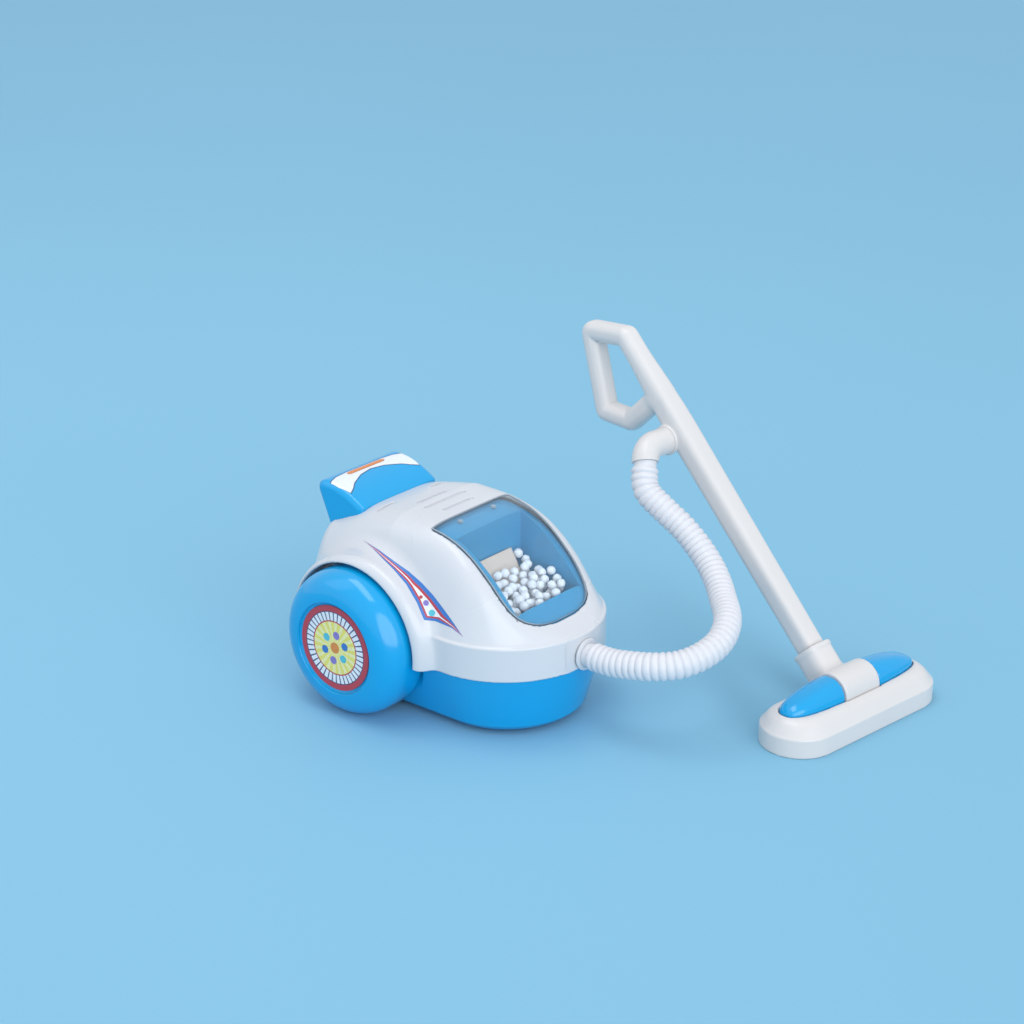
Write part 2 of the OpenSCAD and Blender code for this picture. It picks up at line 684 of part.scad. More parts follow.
module window_pegs() color(dark) both_sides() {
    low = dome_at(peg_x, peg_y, wall + tray_gap) + 0.3;
    drill(peg_x, peg_y, low, dome_at(peg_x, peg_y, 0) - window_t - seat_gap, peg_r);
}

module pit(margin) {
    translate([pit_back - margin, -pit_half - margin])
        square([pit_front - pit_back + 2 * margin, 2 * (pit_half + margin)]);
}

// Everything under the middle of the tray's lip, for trimming the pit's walls
module under_lip() {
    xs = window_xs(0.5);
    loft([for (x = xs) let (h = window_edge(x, 0.5))
        concat([for (j = [0:8])
                let (y = h * (1 - j / 4)) [x, y, dome_at(x, y, wall + tray_gap) - tray_t / 2]],
            [[x, -h, pit_z - pit_wall], [x, h, pit_z - pit_wall]])]);
}

module dust_tray() color(blue) difference() {
    union() {
        dome_sheet(tray_lip, wall + tray_gap, tray_t);
        intersection() {
            under_lip();
            translate([0, 0, pit_z - pit_wall]) linear_extrude(dome_z) pit(pit_wall);
        }
    }
    translate([0, 0, pit_z]) linear_extrude(dome_z) pit(0);
    translate([0, 0, motor_z]) along_x(pit_back - pit_wall - 1, pit_back + 1)
        for (i = [0:5]) rotate(60 * i) translate([fan_d / 3, 0]) circle(air_hole_r);
}

// Foam beads: one layer of staggered rows from the front of the pit
module foam_beads() color("white") {
    step = bead_d + bead_gap;
    rows = floor((pit_front - pit_back - bead_back) / (step * bead_row));
    first = pit_front - bead_d / 2 - 0.3;
    across = floor((2 * pit_half - bead_d) / step);
    for (i = [0:rows - 1], j = [0:across - 1]) {
        shift = i % 2 == 0 ? 0 : step / 2;
        y = (j - (across - 1) / 2) * step - step / 4 + shift;
        translate([first - i * step * bead_row, y, pit_z + bead_d / 2 + 0.2]) sphere(d = bead_d);
    }
}

module bead_flap() color(cream)
    translate([pit_back + 0.4, flap_y, pit_z + flap_up]) rotate([0, flap_tilt, 0])
        box([0, -flap_w / 2, 0], [flap_l, flap_w / 2, flap_t]);

module motor() color(steel) difference() {
    union() {
        intersection() {
            translate([0, 0, motor_z]) along_x(motor_x, motor_x + motor_l) circle(motor_r);
            box([motor_x - 1, -motor_r, motor_z - motor_flat / 2],
                [motor_x + motor_l + 1, motor_r, motor_z + motor_flat / 2]);
        }
        translate([0, 0, motor_z]) along_x(motor_x - motor_boss_l, motor_x + 1) circle(motor_boss_r);
        translate([0, 0, motor_z]) along_x(motor_x + motor_l - 1, motor_x + motor_l + 1)
            circle(motor_boss_r);
    }
    translate([0, 0, motor_z]) along_x(motor_x + motor_l - shaft_in - 0.2, motor_x + motor_l + 2)
        circle(shaft_r + run_gap);
}

module motor_bracket() color(blue) difference() {
    box([bracket_x, -motor_r - bracket_t, floor_z], [bracket_x + bracket_l, motor_r + bracket_t, motor_z]);
    translate([0, 0, motor_z]) along_x(bracket_x - 1, bracket_x + bracket_l + 1) intersection() {
        circle(motor_r + seat_gap);
        square([2 * motor_r + 1, motor_flat + 2 * seat_gap], center = true);
    }
    box([bracket_x - 1, -motor_r, floor_z + bracket_foot],
        [bracket_x + bracket_l + 1, motor_r, motor_z - motor_flat / 2 - bracket_seat]);
}

module motor_shaft() color(steel) translate([0, 0, motor_z])
    along_x(motor_x + motor_l - shaft_in, motor_x + motor_l - shaft_in + shaft_l) circle(shaft_r);

module fan_impeller() color(white) translate([fan_x, 0, motor_z]) difference() {
    union() {
        along_x(0, fan_hub_l) circle(fan_hub_r);
        for (i = [0:blades - 1]) rotate([360 * i / blades, 0, 0]) translate([fan_hub_l / 2, 0, 0])
            rotate([0, 0, blade_twist]) box([-blade_t / 2, -blade_w / 2, fan_hub_r - 1],
                [blade_t / 2, blade_w / 2, fan_d / 2 - 0.2]);
    }
    along_x(-1, fan_hub_l + 1) circle(shaft_r);
}

module battery_cells() color(brass) for (e = [-1, 1])
    translate([bay_x + e * cell_x, 0, floor_z + cell_lift + cell_d / 2]) {
        along_y(-cell_l / 2, cell_l / 2 - cell_tip_l) circle(cell_d / 2);
        along_y(cell_l / 2 - cell_tip_l - 0.5, cell_l / 2) circle(cell_tip_r);
    }

module battery_contacts() color(steel) for (e = [-1, 1]) both_sides()
    box([bay_x + e * cell_x - contact_half, bay_l / 2 - contact_t - contact_gap, floor_z + contact_low],
        [bay_x + e * cell_x + contact_half, bay_l / 2 - contact_gap, floor_z + contact_low + contact_h]);

module battery_door() color(blue) difference() {
    translate([0, 0, belly_z]) linear_extrude(wall) door_plan(-seat_gap);
    drill(door_screw_x, 0, belly_z - 1, floor_z + 1, screw_r + run_gap);
    drill(door_screw_x, 0, belly_z - 1, belly_z + screw_head_t + seat_gap, screw_head_r + seat_gap);
    for (i = [0:grooves - 1]) translate([bay_x - bay_w / 2 + 2 + groove_pitch * i, 0, belly_z])
        box([0, -groove_half, -1], [groove_w, groove_half, groove_depth]);
}

module screw(x, y, low, length) {
    difference() {
        union() {
            drill(x, y, low, low + screw_head_t, screw_head_r);
            drill(x, y, low + screw_head_t / 2, low + length, screw_r);
        }
        for (a = [0, 90]) translate([x, y, low]) rotate(a)
            cube([screw_slot_l, screw_slot_w, screw_head_t], center = true);
    }
}

module battery_door_screw() color(steel) screw(door_screw_x, 0, belly_z + seat_gap, screw_hold);

module switch_body() color(dark) difference() {
    slot = (slider_l + switch_travel) / 2 + switch_gap;
    box([switch_x - switch_l / 2, -switch_w / 2, floor_z],
        [switch_x + switch_l / 2, switch_w / 2, floor_z + switch_h]);
    box([switch_x - slot, -slider_w / 2 - slider_gap, floor_z - 1],
        [switch_x + slot, slider_w / 2 + slider_gap, floor_z + slider_h + 0.5]);
}

module switch_slider() color(dark) translate([switch_x - switch_travel / 2, 0, 0]) {
    box([-slider_l / 2, -slider_w / 2, floor_z + slider_gap],
        [slider_l / 2, slider_w / 2, floor_z + slider_h]);
    box([-knob_l / 2, -knob_w / 2, belly_z - knob_out], [knob_l / 2, knob_w / 2, floor_z + 0.5]);
}

// Leads from the bay to the switch and on to the motor
module wiring() color("firebrick") {
    lead_r = 0.7;
    bay_top = floor_z + bay_h + bay_wall + lead_r;
    switch_back = switch_x - switch_l / 2 - lead_r;
    motor_end = motor_x - lead_r - 0.3;
    wire([[bay_x, 8, bay_top + 0.2], [bay_x + 1, 8.5, bay_top + 7], [-10, 9, 36], [-7, 8, 45],
        [motor_end, 5, motor_z - 3]], lead_r);
    wire([[motor_end, -5, motor_z - 3], [-7, -9, 44], [-9, -13, 35], [-3, -15.5, 26.5], [6, -17, 22.5],
        [14, -18, 14], [24, -14, 8.5], [switch_back - 6, -7, 7], [switch_back - 0.3, -2, 7]], lead_r);
}

module rear_axle() color(steel) translate([0, 0, axle_z])
    along_y(-hub_face + hub_t + axle_end, hub_face - hub_t - axle_end) circle(axle_r);

module wheel() translate([0, 0, axle_z]) turned_about_y() difference() {
    polygon(concat([[0, wheel_in], [wheel_r - wheel_chamfer, wheel_in], [wheel_r, wheel_in + wheel_chamfer]],
        arc([wheel_r - shoulder_r, crest_y - shoulder_r], shoulder_r, 0, 90, 10),
        [[recess_r, crest_y], [recess_r, hub_face - hub_t], [0, hub_face - hub_t]]));
    translate([0, wheel_in - 1]) square([axle_r, hub_face - hub_t + 1 - axle_end - wheel_in]);
    translate([wheel_hub_r, wheel_in - 1])
        square([wheel_r - wheel_skin - wheel_hub_r, crest_y - shoulder_r - wheel_in + 2]);
}

module wheel_left() color(blue) wheel();
module wheel_right() color(blue) scale_y(-1) wheel();

module hub_disc() translate([0, 0, axle_z]) along_y(hub_face - hub_t, hub_face) circle(hub_d / 2);
module hub_disc_left() color("gold") hub_disc();
module hub_disc_right() color("gold") scale_y(-1) hub_disc();

module front_roller() color(dark) translate([roller_x, 0, roller_r]) turned_about_y() difference() {
    c = roller_chamfer;
    translate([0, -roller_w / 2]) polygon([[0, 0], [roller_r - c, 0], [roller_r, c], [roller_r, roller_w - c],
        [roller_r - c, roller_w], [0, roller_w]]);
    translate([0, -roller_w]) square([roller_pin_r + run_gap, 2 * roller_w]);
}

module roller_pin() color(steel) translate([roller_x, 0, roller_r])
    along_y(-roller_w / 2 - lug_gap - lug_t, roller_w / 2 + lug_gap + lug_t) circle(roller_pin_r);

module casing_screws() color(steel) for (p = posts, e = [-1, 1])
    screw(p.x, e * p.y, floor_z - screw_head_t, seam_z - floor_z + screw_hold);

module hose_inlet() color(white) translate([0, 0, inlet_z]) difference() {
    union() {
        along_x(nose_x - inlet_l, nose_x + 1) circle(inlet_tube_r);
        along_x(nose_x + hose_gap, nose_x + inlet_flange_t) circle(inlet_flange_r);
    }
    along_x(nose_x - inlet_l - 1, nose_x + inlet_flange_t + 1) circle(bore_r);
}

// Ribbed hose: a plain cuff at each end, and ribs as pairs of a crest and a valley
module hose() color(white) {
    cuff = 0.016;
    pitch = (1 - 2 * cuff) / ribs;
    rings = concat([[0, hose_r - rib_depth]],
        [for (i = [0:ribs - 1])
            each [[cuff + pitch * (i + 0.2), hose_r - rib_depth], [cuff + pitch * (i + 0.7), hose_r]]],
        [[1 - cuff, hose_r - rib_depth], [1, hose_r - rib_depth]]);
    hollow_tube(hose_line, rings, bore_r, 8, 46);
}

module hose_elbow() color(white) in_head() {
    bend = [for (k = [0, 0.25, 0.5, 0.75, 0.995, 1]) let (a = k * elbow_bend)
        elbow_centre + elbow_r * (cos(a) * elbow_out + sin(a) * [0, 1, 0])];
    start = boss_centre + [0, boss_face, 0];
    hollow_tube(concat([start, (start + bend[0]) / 2], bend), [for (i = [0:12]) [i / 12, hose_r]],
        bore_r, 24, 12, [1, 0, 0]);
}

function wand_ring(w, size) = [for (a = [0:15:345])
    [w, size / 2 * signed_power(cos(a), wand_square),
     size / 2 * signed_power(sin(a), wand_square) - wand_drop]];

module wand() color(white) {
    in_wand() {
        loft([wand_ring(collar_l + 0.1, wand_w_low), wand_ring(wand_l, wand_w_top)]);
        translate([0, 0, -wand_drop]) along_x(collar_l - plug_l, collar_l + 2) circle(plug_r);
        translate([0, 0, -wand_drop]) rotate([90, 0, 0]) linear_extrude(loop_w, center = true) difference() {
            offset(r = loop_bar / 2, $fn = 32) polygon([for (p = loop_line) [p.x, -p.y]]);
            offset(r = loop_fillet, $fn = 32) offset(delta = -loop_bar / 2 - loop_fillet)
                polygon([for (p = loop_line) [p.x, -p.y]]);
        }
    }
    in_head() translate([boss_centre.x, 0, boss_centre.z]) {
        along_y(0, boss_face - boss_rim_l + 0.4) circle(hose_r);
        along_y(boss_face - boss_rim_l, boss_face) circle(hose_r + boss_rim);
        along_y(boss_face - 1, boss_face + spigot_l) circle(bore_r - seat_gap / 2);
    }
}

module neck() color(white) difference() {
    union() {
        in_head() translate([pivot_x, 0, pivot_z]) along_y(-barrel_half, barrel_half) circle(barrel_r);
        in_wand() translate([0, 0, -wand_drop]) {
            along_x(collar_from, collar_l) circle(collar_d / 2);
            along_x(collar_l - collar_rim_l, collar_l) circle(collar_d / 2 + collar_rim);
        }
    }
    in_head() translate([pivot_x, 0, pivot_z]) along_y(-barrel_half - 1, barrel_half + 1)
        circle(pin_r + run_gap);
    in_wand() translate([0, 0, -wand_drop]) along_x(collar_l - plug_l - 0.5, collar_l + 1)
        circle(plug_r + run_gap);
}

module neck_pin() color(steel) in_head() translate([pivot_x, 0, pivot_z])
    along_y(-pin_half, pin_half) circle(pin_r);

module lens_plan(margin, from) {
    ys = insert_ys(from);
    polygon(concat([for (y = ys) [lens_w * lens_share(y) + margin, y]], [[0, lens_half + margin]],
        [for (i = [len(ys) - 1:-1:0]) [-lens_w * lens_share(ys[i]) - margin, ys[i]]]));
}

// Blocks of the head's shell that carry the neck's pin, under the inserts
module pin_blocks(margin) {
    both_sides() box([pivot_x - pin_block - margin, barrel_half + slot_gap - margin, sole_top],
        [pivot_x + pin_block + margin, pin_half + pin_block_end + margin, pivot_z + pin_block_up + margin]);
}

module head_shell() color(white) in_head() difference() {
    union() {
        loft([for (k = head_steps) at_height(head_plan(k[0]), k[1])]);
        pin_blocks(0);
    }
    difference() {
        translate([0, 0, -1]) linear_extrude(head_cavity_z + 1) polygon(head_plan(head_wall));
        pin_blocks(0);
        both_sides() drill(0, head_screw_y, sole_top, head_z, post_r);
    }
    translate([pivot_x, 0, pivot_z]) along_y(-barrel_half - slot_gap, barrel_half + slot_gap)
        circle(barrel_r + slot_gap);
    box([pivot_x, -collar_d / 2 - collar_slot, collar_slot_z],
        [head_w, collar_d / 2 + collar_slot, insert_z]);
    difference() {
        both_sides() translate([pivot_x, 0, lens_floor]) linear_extrude(head_z)
            lens_plan(seat_gap, barrel_half + slot_gap - 0.1);
        pin_blocks(0);
    }
    translate([pivot_x, 0, pivot_z]) along_y(-pin_half, pin_half) circle(pin_r + press_gap);
    both_sides() drill(0, head_screw_y, 0, head_cavity_z + 1, screw_r + run_gap);
}

module head_sole() color(white) in_head() difference() {
    slot_half = head_l / 2 - sole_slot_end;
    linear_extrude(sole_t) polygon(head_plan(head_wall + seat_gap));
    both_sides() drill(0, head_screw_y, -1, sole_t + 1, screw_r + run_gap);
    both_sides() drill(0, head_screw_y, -1, screw_head_t, screw_head_r + seat_gap);
    for (e = [-1, 1]) translate([e * sole_slot_x, 0, 0])
        box([-sole_slot_w / 2, -slot_half, -1], [sole_slot_w / 2, slot_half, sole_slot_depth]);
}

module head_insert() difference() {
    ys = insert_ys(barrel_half + slot_gap + 0.3);
    translate([pivot_x, 0, 0]) loft([for (i = [len(ys) - 1:-1:0])
        let (y = ys[i], a = lens_w * lens_share(y), h = (insert_z - lens_base) * lens_share(y))
        concat([for (t = [0:18:180]) [a * cos(t), y, lens_base + h * sin(t)]],
            [[-a, y, lens_floor], [a, y, lens_floor]])]);
    pin_blocks(seat_gap);
}

module head_insert_right() color(blue) in_head() head_insert();
module head_insert_left() color(blue) in_head() scale_y(-1) head_insert();
module head_screws() color(steel) in_head() for (e = [-1, 1]) screw(0, e * head_screw_y, 0, head_cavity_z);

placed() lower_casing();
placed() upper_casing();
placed() rear_hood();
placed() window();
placed() window_pegs();
placed() dust_tray();
placed() foam_beads();
placed() bead_flap();
placed() motor();
placed() motor_bracket();
placed() motor_shaft();
placed() fan_impeller();
placed() battery_cells();
placed() battery_contacts();
placed() battery_door();
placed() battery_door_screw();
placed() switch_body();
placed() switch_slider();
placed() wiring();
placed() rear_axle();
placed() wheel_right();
placed() wheel_left();
placed() hub_disc_right();
placed() hub_disc_left();
placed() front_roller();
placed() roller_pin();
placed() casing_screws();
placed() hose_inlet();
placed() hose();
placed() hose_elbow();
placed() wand();
placed() neck();
placed() neck_pin();
placed() head_shell();
placed() head_sole();
placed() head_insert_right();
placed() head_insert_left();
placed() head_screws();
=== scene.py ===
import json
from math import cos, hypot, pi, radians, sin, sqrt, tan

import bmesh
import bpy
import numpy as np
from mathutils import Matrix, Vector
from mathutils.bvhtree import BVHTree

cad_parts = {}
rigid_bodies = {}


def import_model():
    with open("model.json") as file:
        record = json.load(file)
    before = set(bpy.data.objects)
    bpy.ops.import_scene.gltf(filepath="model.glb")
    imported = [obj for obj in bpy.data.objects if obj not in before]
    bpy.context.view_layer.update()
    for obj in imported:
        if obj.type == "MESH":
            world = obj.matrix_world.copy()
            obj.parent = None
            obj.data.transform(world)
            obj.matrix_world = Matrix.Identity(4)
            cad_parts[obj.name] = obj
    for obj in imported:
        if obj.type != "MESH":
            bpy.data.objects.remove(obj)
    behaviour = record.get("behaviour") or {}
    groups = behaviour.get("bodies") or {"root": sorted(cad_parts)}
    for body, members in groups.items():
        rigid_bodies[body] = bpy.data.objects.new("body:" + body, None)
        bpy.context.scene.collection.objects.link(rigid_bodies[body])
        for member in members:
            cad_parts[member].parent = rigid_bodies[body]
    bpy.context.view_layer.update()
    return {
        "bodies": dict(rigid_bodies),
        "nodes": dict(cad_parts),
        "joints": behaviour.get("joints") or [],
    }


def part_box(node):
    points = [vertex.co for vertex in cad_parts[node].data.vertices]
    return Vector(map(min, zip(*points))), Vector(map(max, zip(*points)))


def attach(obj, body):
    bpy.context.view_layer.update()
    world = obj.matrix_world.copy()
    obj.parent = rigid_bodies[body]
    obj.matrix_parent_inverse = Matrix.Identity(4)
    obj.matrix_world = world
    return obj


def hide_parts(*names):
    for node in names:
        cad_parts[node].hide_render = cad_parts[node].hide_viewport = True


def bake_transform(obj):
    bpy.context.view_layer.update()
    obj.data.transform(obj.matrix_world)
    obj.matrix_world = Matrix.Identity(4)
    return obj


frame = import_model()
nodes = frame["nodes"]
joints = {j["name"]: j for j in frame["joints"]}
scene = bpy.context.scene
scene.view_settings.view_transform = "Standard"

MM = 0.001

# Places that the frame gives: the wheel axle, and the floor head's pivot and its axis
axle_low, axle_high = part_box("rear_axle")
axle = (axle_low + axle_high) / 2
pivot = Vector(joints["head_tilt"]["pos_m"])
head_y = Vector(joints["head_tilt"]["axis"]).normalized()
head_x = head_y.cross(Vector((0, 0, 1)))

# Shape sizes in millimetres, in the canister's frame: X forward of the axle, Y left, Z up from the floor
AXLE_Z = axle.z / MM
BAND_HALF, BAND_NOSE, BAND_TAIL = 44.5, 92, -44
SEAM_Z, BAND_TOP = 30, 46
DOME_STEP = 1
DOME_Z = 89.2
DOME_FLAT = 0.76
DOME_CREST = 8
DOME_POWER = 7
TAIL_SHOULDER = 4.5
SHOULDER_FROM, SHOULDER_TO = -28, 12
FRONT_C, REAR_C = 49, -8
TAIL_POWER = 4
FRONT_SHAPE = [(0, 1), (0.23, 0.98), (0.385, 0.91), (0.505, 0.785), (0.65, 0.545), (0.795, 0.245),
               (0.89, 0.105), (1, 0)]
BACK_SHAPE = [(0, 1), (0.45, 0.905), (0.7, 0.8), (0.86, 0.7), (0.96, 0.4), (1, 0)]
WALL = 2
ARCH_R, WELL_Y = 35.8, 39
FENDER_X, FENDER_R, FENDER_Y, FENDER_ROUND = 2.5, 39.5, 51, 5
FENDER_LEAST = 2.6
WINDOW_BACK, WINDOW_TIP, WINDOW_HALF = 27, 81, 26.6
WINDOW_ROUND_X, WINDOW_POWER = 61.5, 2.8
WINDOW_T = 1.3
HOOD_HALF = 26
HOOD_Z = 93.2
INLET_Z = 36.3
HOSE_R, HOSE_BORE = 6.3, 4.2

# Floor head and wand, in the head's frame: X backwards, Y towards the right end, Z up
PIVOT_X, PIVOT_Z = 0.8, pivot.z / MM
HEAD_L, HEAD_END = 100.9, 17.45
WAND_TILT = 45
WAND_DROP = 7.6
WAND_FROM, WAND_TO = 22.9, 184.5


# From millimetres in each frame to the row's metres
canister_frame = Matrix.Translation((axle.x, axle.y, 0)) @ Matrix.Scale(MM, 4)
axle_frame = canister_frame @ Matrix.Translation((0, 0, AXLE_Z))
head_turn = Matrix((head_x, head_y, (0, 0, 1))).transposed().to_4x4()
head_frame = (Matrix.Translation(pivot) @ head_turn @ Matrix.Scale(MM, 4)
              @ Matrix.Translation((-PIVOT_X, 0, -PIVOT_Z)))
wand_frame = (head_frame @ Matrix.Translation((PIVOT_X, 0, PIVOT_Z))
              @ Matrix.Rotation(-radians(WAND_TILT), 4, "Y"))


def link(name, data):
    obj = bpy.data.objects.new(name, data)
    scene.collection.objects.link(obj)
    return obj


# Camera at the photograph's viewing angle
CAMERA_AT = (0.56845, -0.76299, 0.46800)
CAMERA_EL, CAMERA_AZ = 21.765, 39.257
CAMERA_FOV = 25
camera = link("camera", bpy.data.cameras.new("camera"))
camera.location = CAMERA_AT
camera.rotation_euler = (radians(90 - CAMERA_EL), 0, radians(CAMERA_AZ))
camera.data.sensor_fit = "HORIZONTAL"
camera.data.angle = radians(CAMERA_FOV)
camera.data.clip_start, camera.data.clip_end = 0.01, 50
scene.camera = camera


# Node helpers for the materials
def new_material(name):
    material = bpy.data.materials.new(name)
    material.use_nodes = True
    tree = material.node_tree
    return material, tree, tree.nodes["Principled BSDF"]


def set_inputs(node, values):
    for socket, value in values.items():
        node.inputs[socket].default_value = value


def texture(tree, kind, scale):
    where = tree.nodes.new("ShaderNodeTexCoord")
    node = tree.nodes.new(kind)
    node.inputs["Scale"].default_value = scale
    tree.links.new(where.outputs["Object"], node.inputs["Vector"])
    return node


def noise(tree, scale, detail):
    node = texture(tree, "ShaderNodeTexNoise", scale)
    node.inputs["Detail"].default_value = detail
    return node.outputs["Fac"]


# Range in which most values of a noise lie
NOISE_LOW, NOISE_HIGH = 0.3, 0.7


def tint(tree, fac, shader, colour, low, high, span=(NOISE_LOW, NOISE_HIGH)):
    """Base colour that runs from low to high times the colour."""
    node = tree.nodes.new("ShaderNodeValToRGB")
    for element, place, share in zip(node.color_ramp.elements, span, (low, high)):
        element.position = place
        element.color = (*(min(1, c * share) for c in colour), 1)
    tree.links.new(fac, node.inputs["Fac"])
    tree.links.new(node.outputs["Color"], shader.inputs["Base Color"])


def roughen(tree, fac, shader, low, high):
    node = tree.nodes.new("ShaderNodeMapRange")
    set_inputs(node, {"From Min": NOISE_LOW, "From Max": NOISE_HIGH, "To Min": low, "To Max": high})
    tree.links.new(fac, node.inputs["Value"])
    tree.links.new(node.outputs["Result"], shader.inputs["Roughness"])


def bump(tree, fac, shader, strength, distance):
    node = tree.nodes.new("ShaderNodeBump")
    set_inputs(node, {"Strength": strength, "Distance": distance})
    tree.links.new(fac, node.inputs["Height"])
    tree.links.new(node.outputs["Normal"], shader.inputs["Normal"])


def plastic(name, colour, rough, coat=0.0, scatter=0.0, grain=0.15):
    """Moulded plastic: a faint mottle, cloudy roughness and a fine moulded grain."""
    material, tree, shader = new_material(name)
    tint(tree, noise(tree, scale=14, detail=1), shader, colour, 0.985, 1.01)
    roughen(tree, noise(tree, scale=30, detail=1), shader, rough * 0.95, rough * 1.05)
    bump(tree, noise(tree, scale=1500, detail=3), shader, strength=grain, distance=0.00004)
    set_inputs(shader, {"Coat Weight": coat, "Coat Roughness": 0.08, "Subsurface Weight": scatter,
                        "Subsurface Radius": (1, 0.9, 0.8), "Subsurface Scale": 0.0015})
    return material


def metal(name, colour, rough):
    """Plain steel with a drawn, slightly uneven finish."""
    material, tree, shader = new_material(name)
    tint(tree, noise(tree, scale=240, detail=4), shader, colour, 0.85, 1)
    roughen(tree, noise(tree, scale=400, detail=3), shader, rough * 0.7, rough * 1.4)
    bump(tree, noise(tree, scale=2400, detail=2), shader, strength=0.2, distance=0.00003)
    shader.inputs["Metallic"].default_value = 1
    return material


INK_ROUGH = 0.42


def printed(name, colour):
    """Ink on a sticker: a fine screen-printed speckle under a satin film."""
    material, tree, shader = new_material(name)
    tint(tree, noise(tree, scale=1800, detail=3), shader, colour, 0.9, 1.05, span=(0.35, 0.65))
    roughen(tree, noise(tree, scale=300, detail=2), shader, INK_ROUGH * 0.8, INK_ROUGH * 1.2)
    bump(tree, noise(tree, scale=700, detail=2), shader, strength=0.1, distance=0.00003)
    return material


def foam(name, colour):
    """Expanded foam: matt, with small cells in its skin."""
    material, tree, shader = new_material(name)
    cells = texture(tree, "ShaderNodeTexVoronoi", scale=1400).outputs["Distance"]
    tint(tree, cells, shader, colour, 0.9, 1, span=(0, 0.5))
    bump(tree, cells, shader, strength=0.5, distance=0.0002)
    set_inputs(shader, {"Roughness": 0.75, "Subsurface Weight": 0.25, "Subsurface Radius": (1, 1, 1),
                        "Subsurface Scale": 0.001})
    return material


def clear_plastic(name, colour):
    """Clear moulded cover: lamps reach what lies behind it, and its skin has a soft haze."""
    material, tree, shader = new_material(name)
    set_inputs(shader, {"Base Color": (*colour, 1), "Transmission Weight": 0.985, "IOR": 1.46})
    roughen(tree, noise(tree, scale=220, detail=3), shader, 0.02, 0.05)
    bump(tree, noise(tree, scale=90, detail=2), shader, strength=0.02, distance=0.0001)
    path = tree.nodes.new("ShaderNodeLightPath")
    through = tree.nodes.new("ShaderNodeBsdfTransparent")
    through.inputs["Color"].default_value = (*colour, 1)
    mix = tree.nodes.new("ShaderNodeMixShader")
    tree.links.new(path.outputs["Is Shadow Ray"], mix.inputs["Fac"])
    tree.links.new(shader.outputs["BSDF"], mix.inputs[1])
    tree.links.new(through.outputs["BSDF"], mix.inputs[2])
    tree.links.new(mix.outputs["Shader"], tree.nodes["Material Output"].inputs["Surface"])
    return material


shell_white = plastic("shell_white", (0.65, 0.655, 0.685), 0.28, coat=0.3, scatter=0.05, grain=0.05)
wand_white = plastic("wand_white", (0.70, 0.665, 0.65), 0.34, coat=0.2, scatter=0.08)
hose_white = plastic("hose_white", (0.71, 0.70, 0.73), 0.38, scatter=0.12)
gloss_blue = plastic("gloss_blue", (0.001, 0.345, 0.70), 0.18, coat=0.25, grain=0.05)
tray_blue = plastic("tray_blue", (0.01, 0.26, 0.49), 0.3, coat=0.2)
dark_plastic = plastic("dark_plastic", (0.03, 0.033, 0.038), 0.4)
# Grey of the tray's pegs, and also painted shade on the window's edge band and edge walls
peg_grey_and_edge_shade = plastic("peg_grey_and_edge_shade", (0.30, 0.36, 0.42), 0.3, coat=0.3)
cream_card = plastic("cream_card", (0.68, 0.54, 0.46), 0.5)
cell_wrap = plastic("cell_wrap", (0.45, 0.24, 0.04), 0.25, coat=0.5)
lead_red = plastic("lead_red", (0.36, 0.02, 0.02), 0.4)
steel = metal("steel", (0.62, 0.62, 0.64), 0.3)
bead_foam = foam("bead_foam", (0.80, 0.78, 0.81))
window_clear = clear_plastic("window_clear", (0.90, 0.96, 0.99))
INKS = {"red": (0.50, 0.055, 0.075), "white": (0.80, 0.83, 0.87), "navy": (0.045, 0.06, 0.16),
        "yellow": (0.82, 0.72, 0.16), "pale": (0.86, 0.82, 0.42), "blue": (0.045, 0.19, 0.54),
        "teal": (0.10, 0.52, 0.62), "orange": (0.72, 0.26, 0.06), "violet": (0.25, 0.20, 0.55)}
prints = {name: printed("print_" + name, colour) for name, colour in INKS.items()}


# Meshes
def piece(mesh, body, slot, *replaced):
    obj = link(mesh.name, mesh)
    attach(obj, body)
    if replaced:
        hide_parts(*replaced)


def body_of(node):
    return next(name for name, body in frame["bodies"].items() if body == nodes[node].parent)


def mesh_of(name, points, faces, material, matrix=Matrix.Identity(4), smooth=True):
    mesh = bpy.data.meshes.new(name)
    mesh.from_pydata([tuple(p) for p in points], [], [tuple(int(i) for i in f) for f in faces])
    mesh.transform(matrix)
    mesh.materials.append(material)
    mesh.polygons.foreach_set("use_smooth", [smooth] * len(mesh.polygons))
    mesh.update()
    return mesh


def paint(mesh, materials, choice):
    for material in materials:
        mesh.materials.append(material)
    mesh.polygons.foreach_set("material_index", choice)


def edged_piece(mesh, degrees, slot, node):
    """A piece whose edges over an angle stay sharp."""
    mesh.set_sharp_from_angle(angle=radians(degrees))
    piece(mesh, body_of(node), slot, node)


# Surfaces drawn where a field of distances is zero: points p are rows, in millimetres
def rounded_max(a, b, r):
    """Where both solids overlap, with an edge of radius r."""
    outer = np.sqrt(np.maximum(a + r, 0) ** 2 + np.maximum(b + r, 0) ** 2)
    return outer + np.minimum(np.maximum(a + r, b + r), 0) - r


def cut(a, b, r):
    """The first solid less the second, with an edge of radius r."""
    return rounded_max(a, -b, r)


def joined(a, b, r):
    """Both solids, with a fillet between them."""
    h = np.maximum(r - abs(a - b), 0)
    return np.minimum(a, b) - h * h / (4 * r)


FAR, LEAST_SLOPE, TINY = 30, 1e-3, 1e-9


def between(x, low, high):
    """Below zero where x lies between low and high."""
    return np.maximum(low - x, x - high)


def power_sum(a, b, power):
    """Level of a superellipse, 1 on its outline."""
    return (a ** power + b ** power) ** (1 / power)


def part(x, start, end):
    """Share of the way from start to end, held between 0 and 1."""
    return np.clip((x - start) / (end - start), 0, 1)


def unit_rows(v):
    return v / np.maximum(np.linalg.norm(v, axis=1), TINY)[:, None]


def gradient(field, p, d=0.02):
    ways = np.eye(3) * d
    return np.stack([(field(p + w) - field(p - w)) / (2 * d) for w in ways], -1)


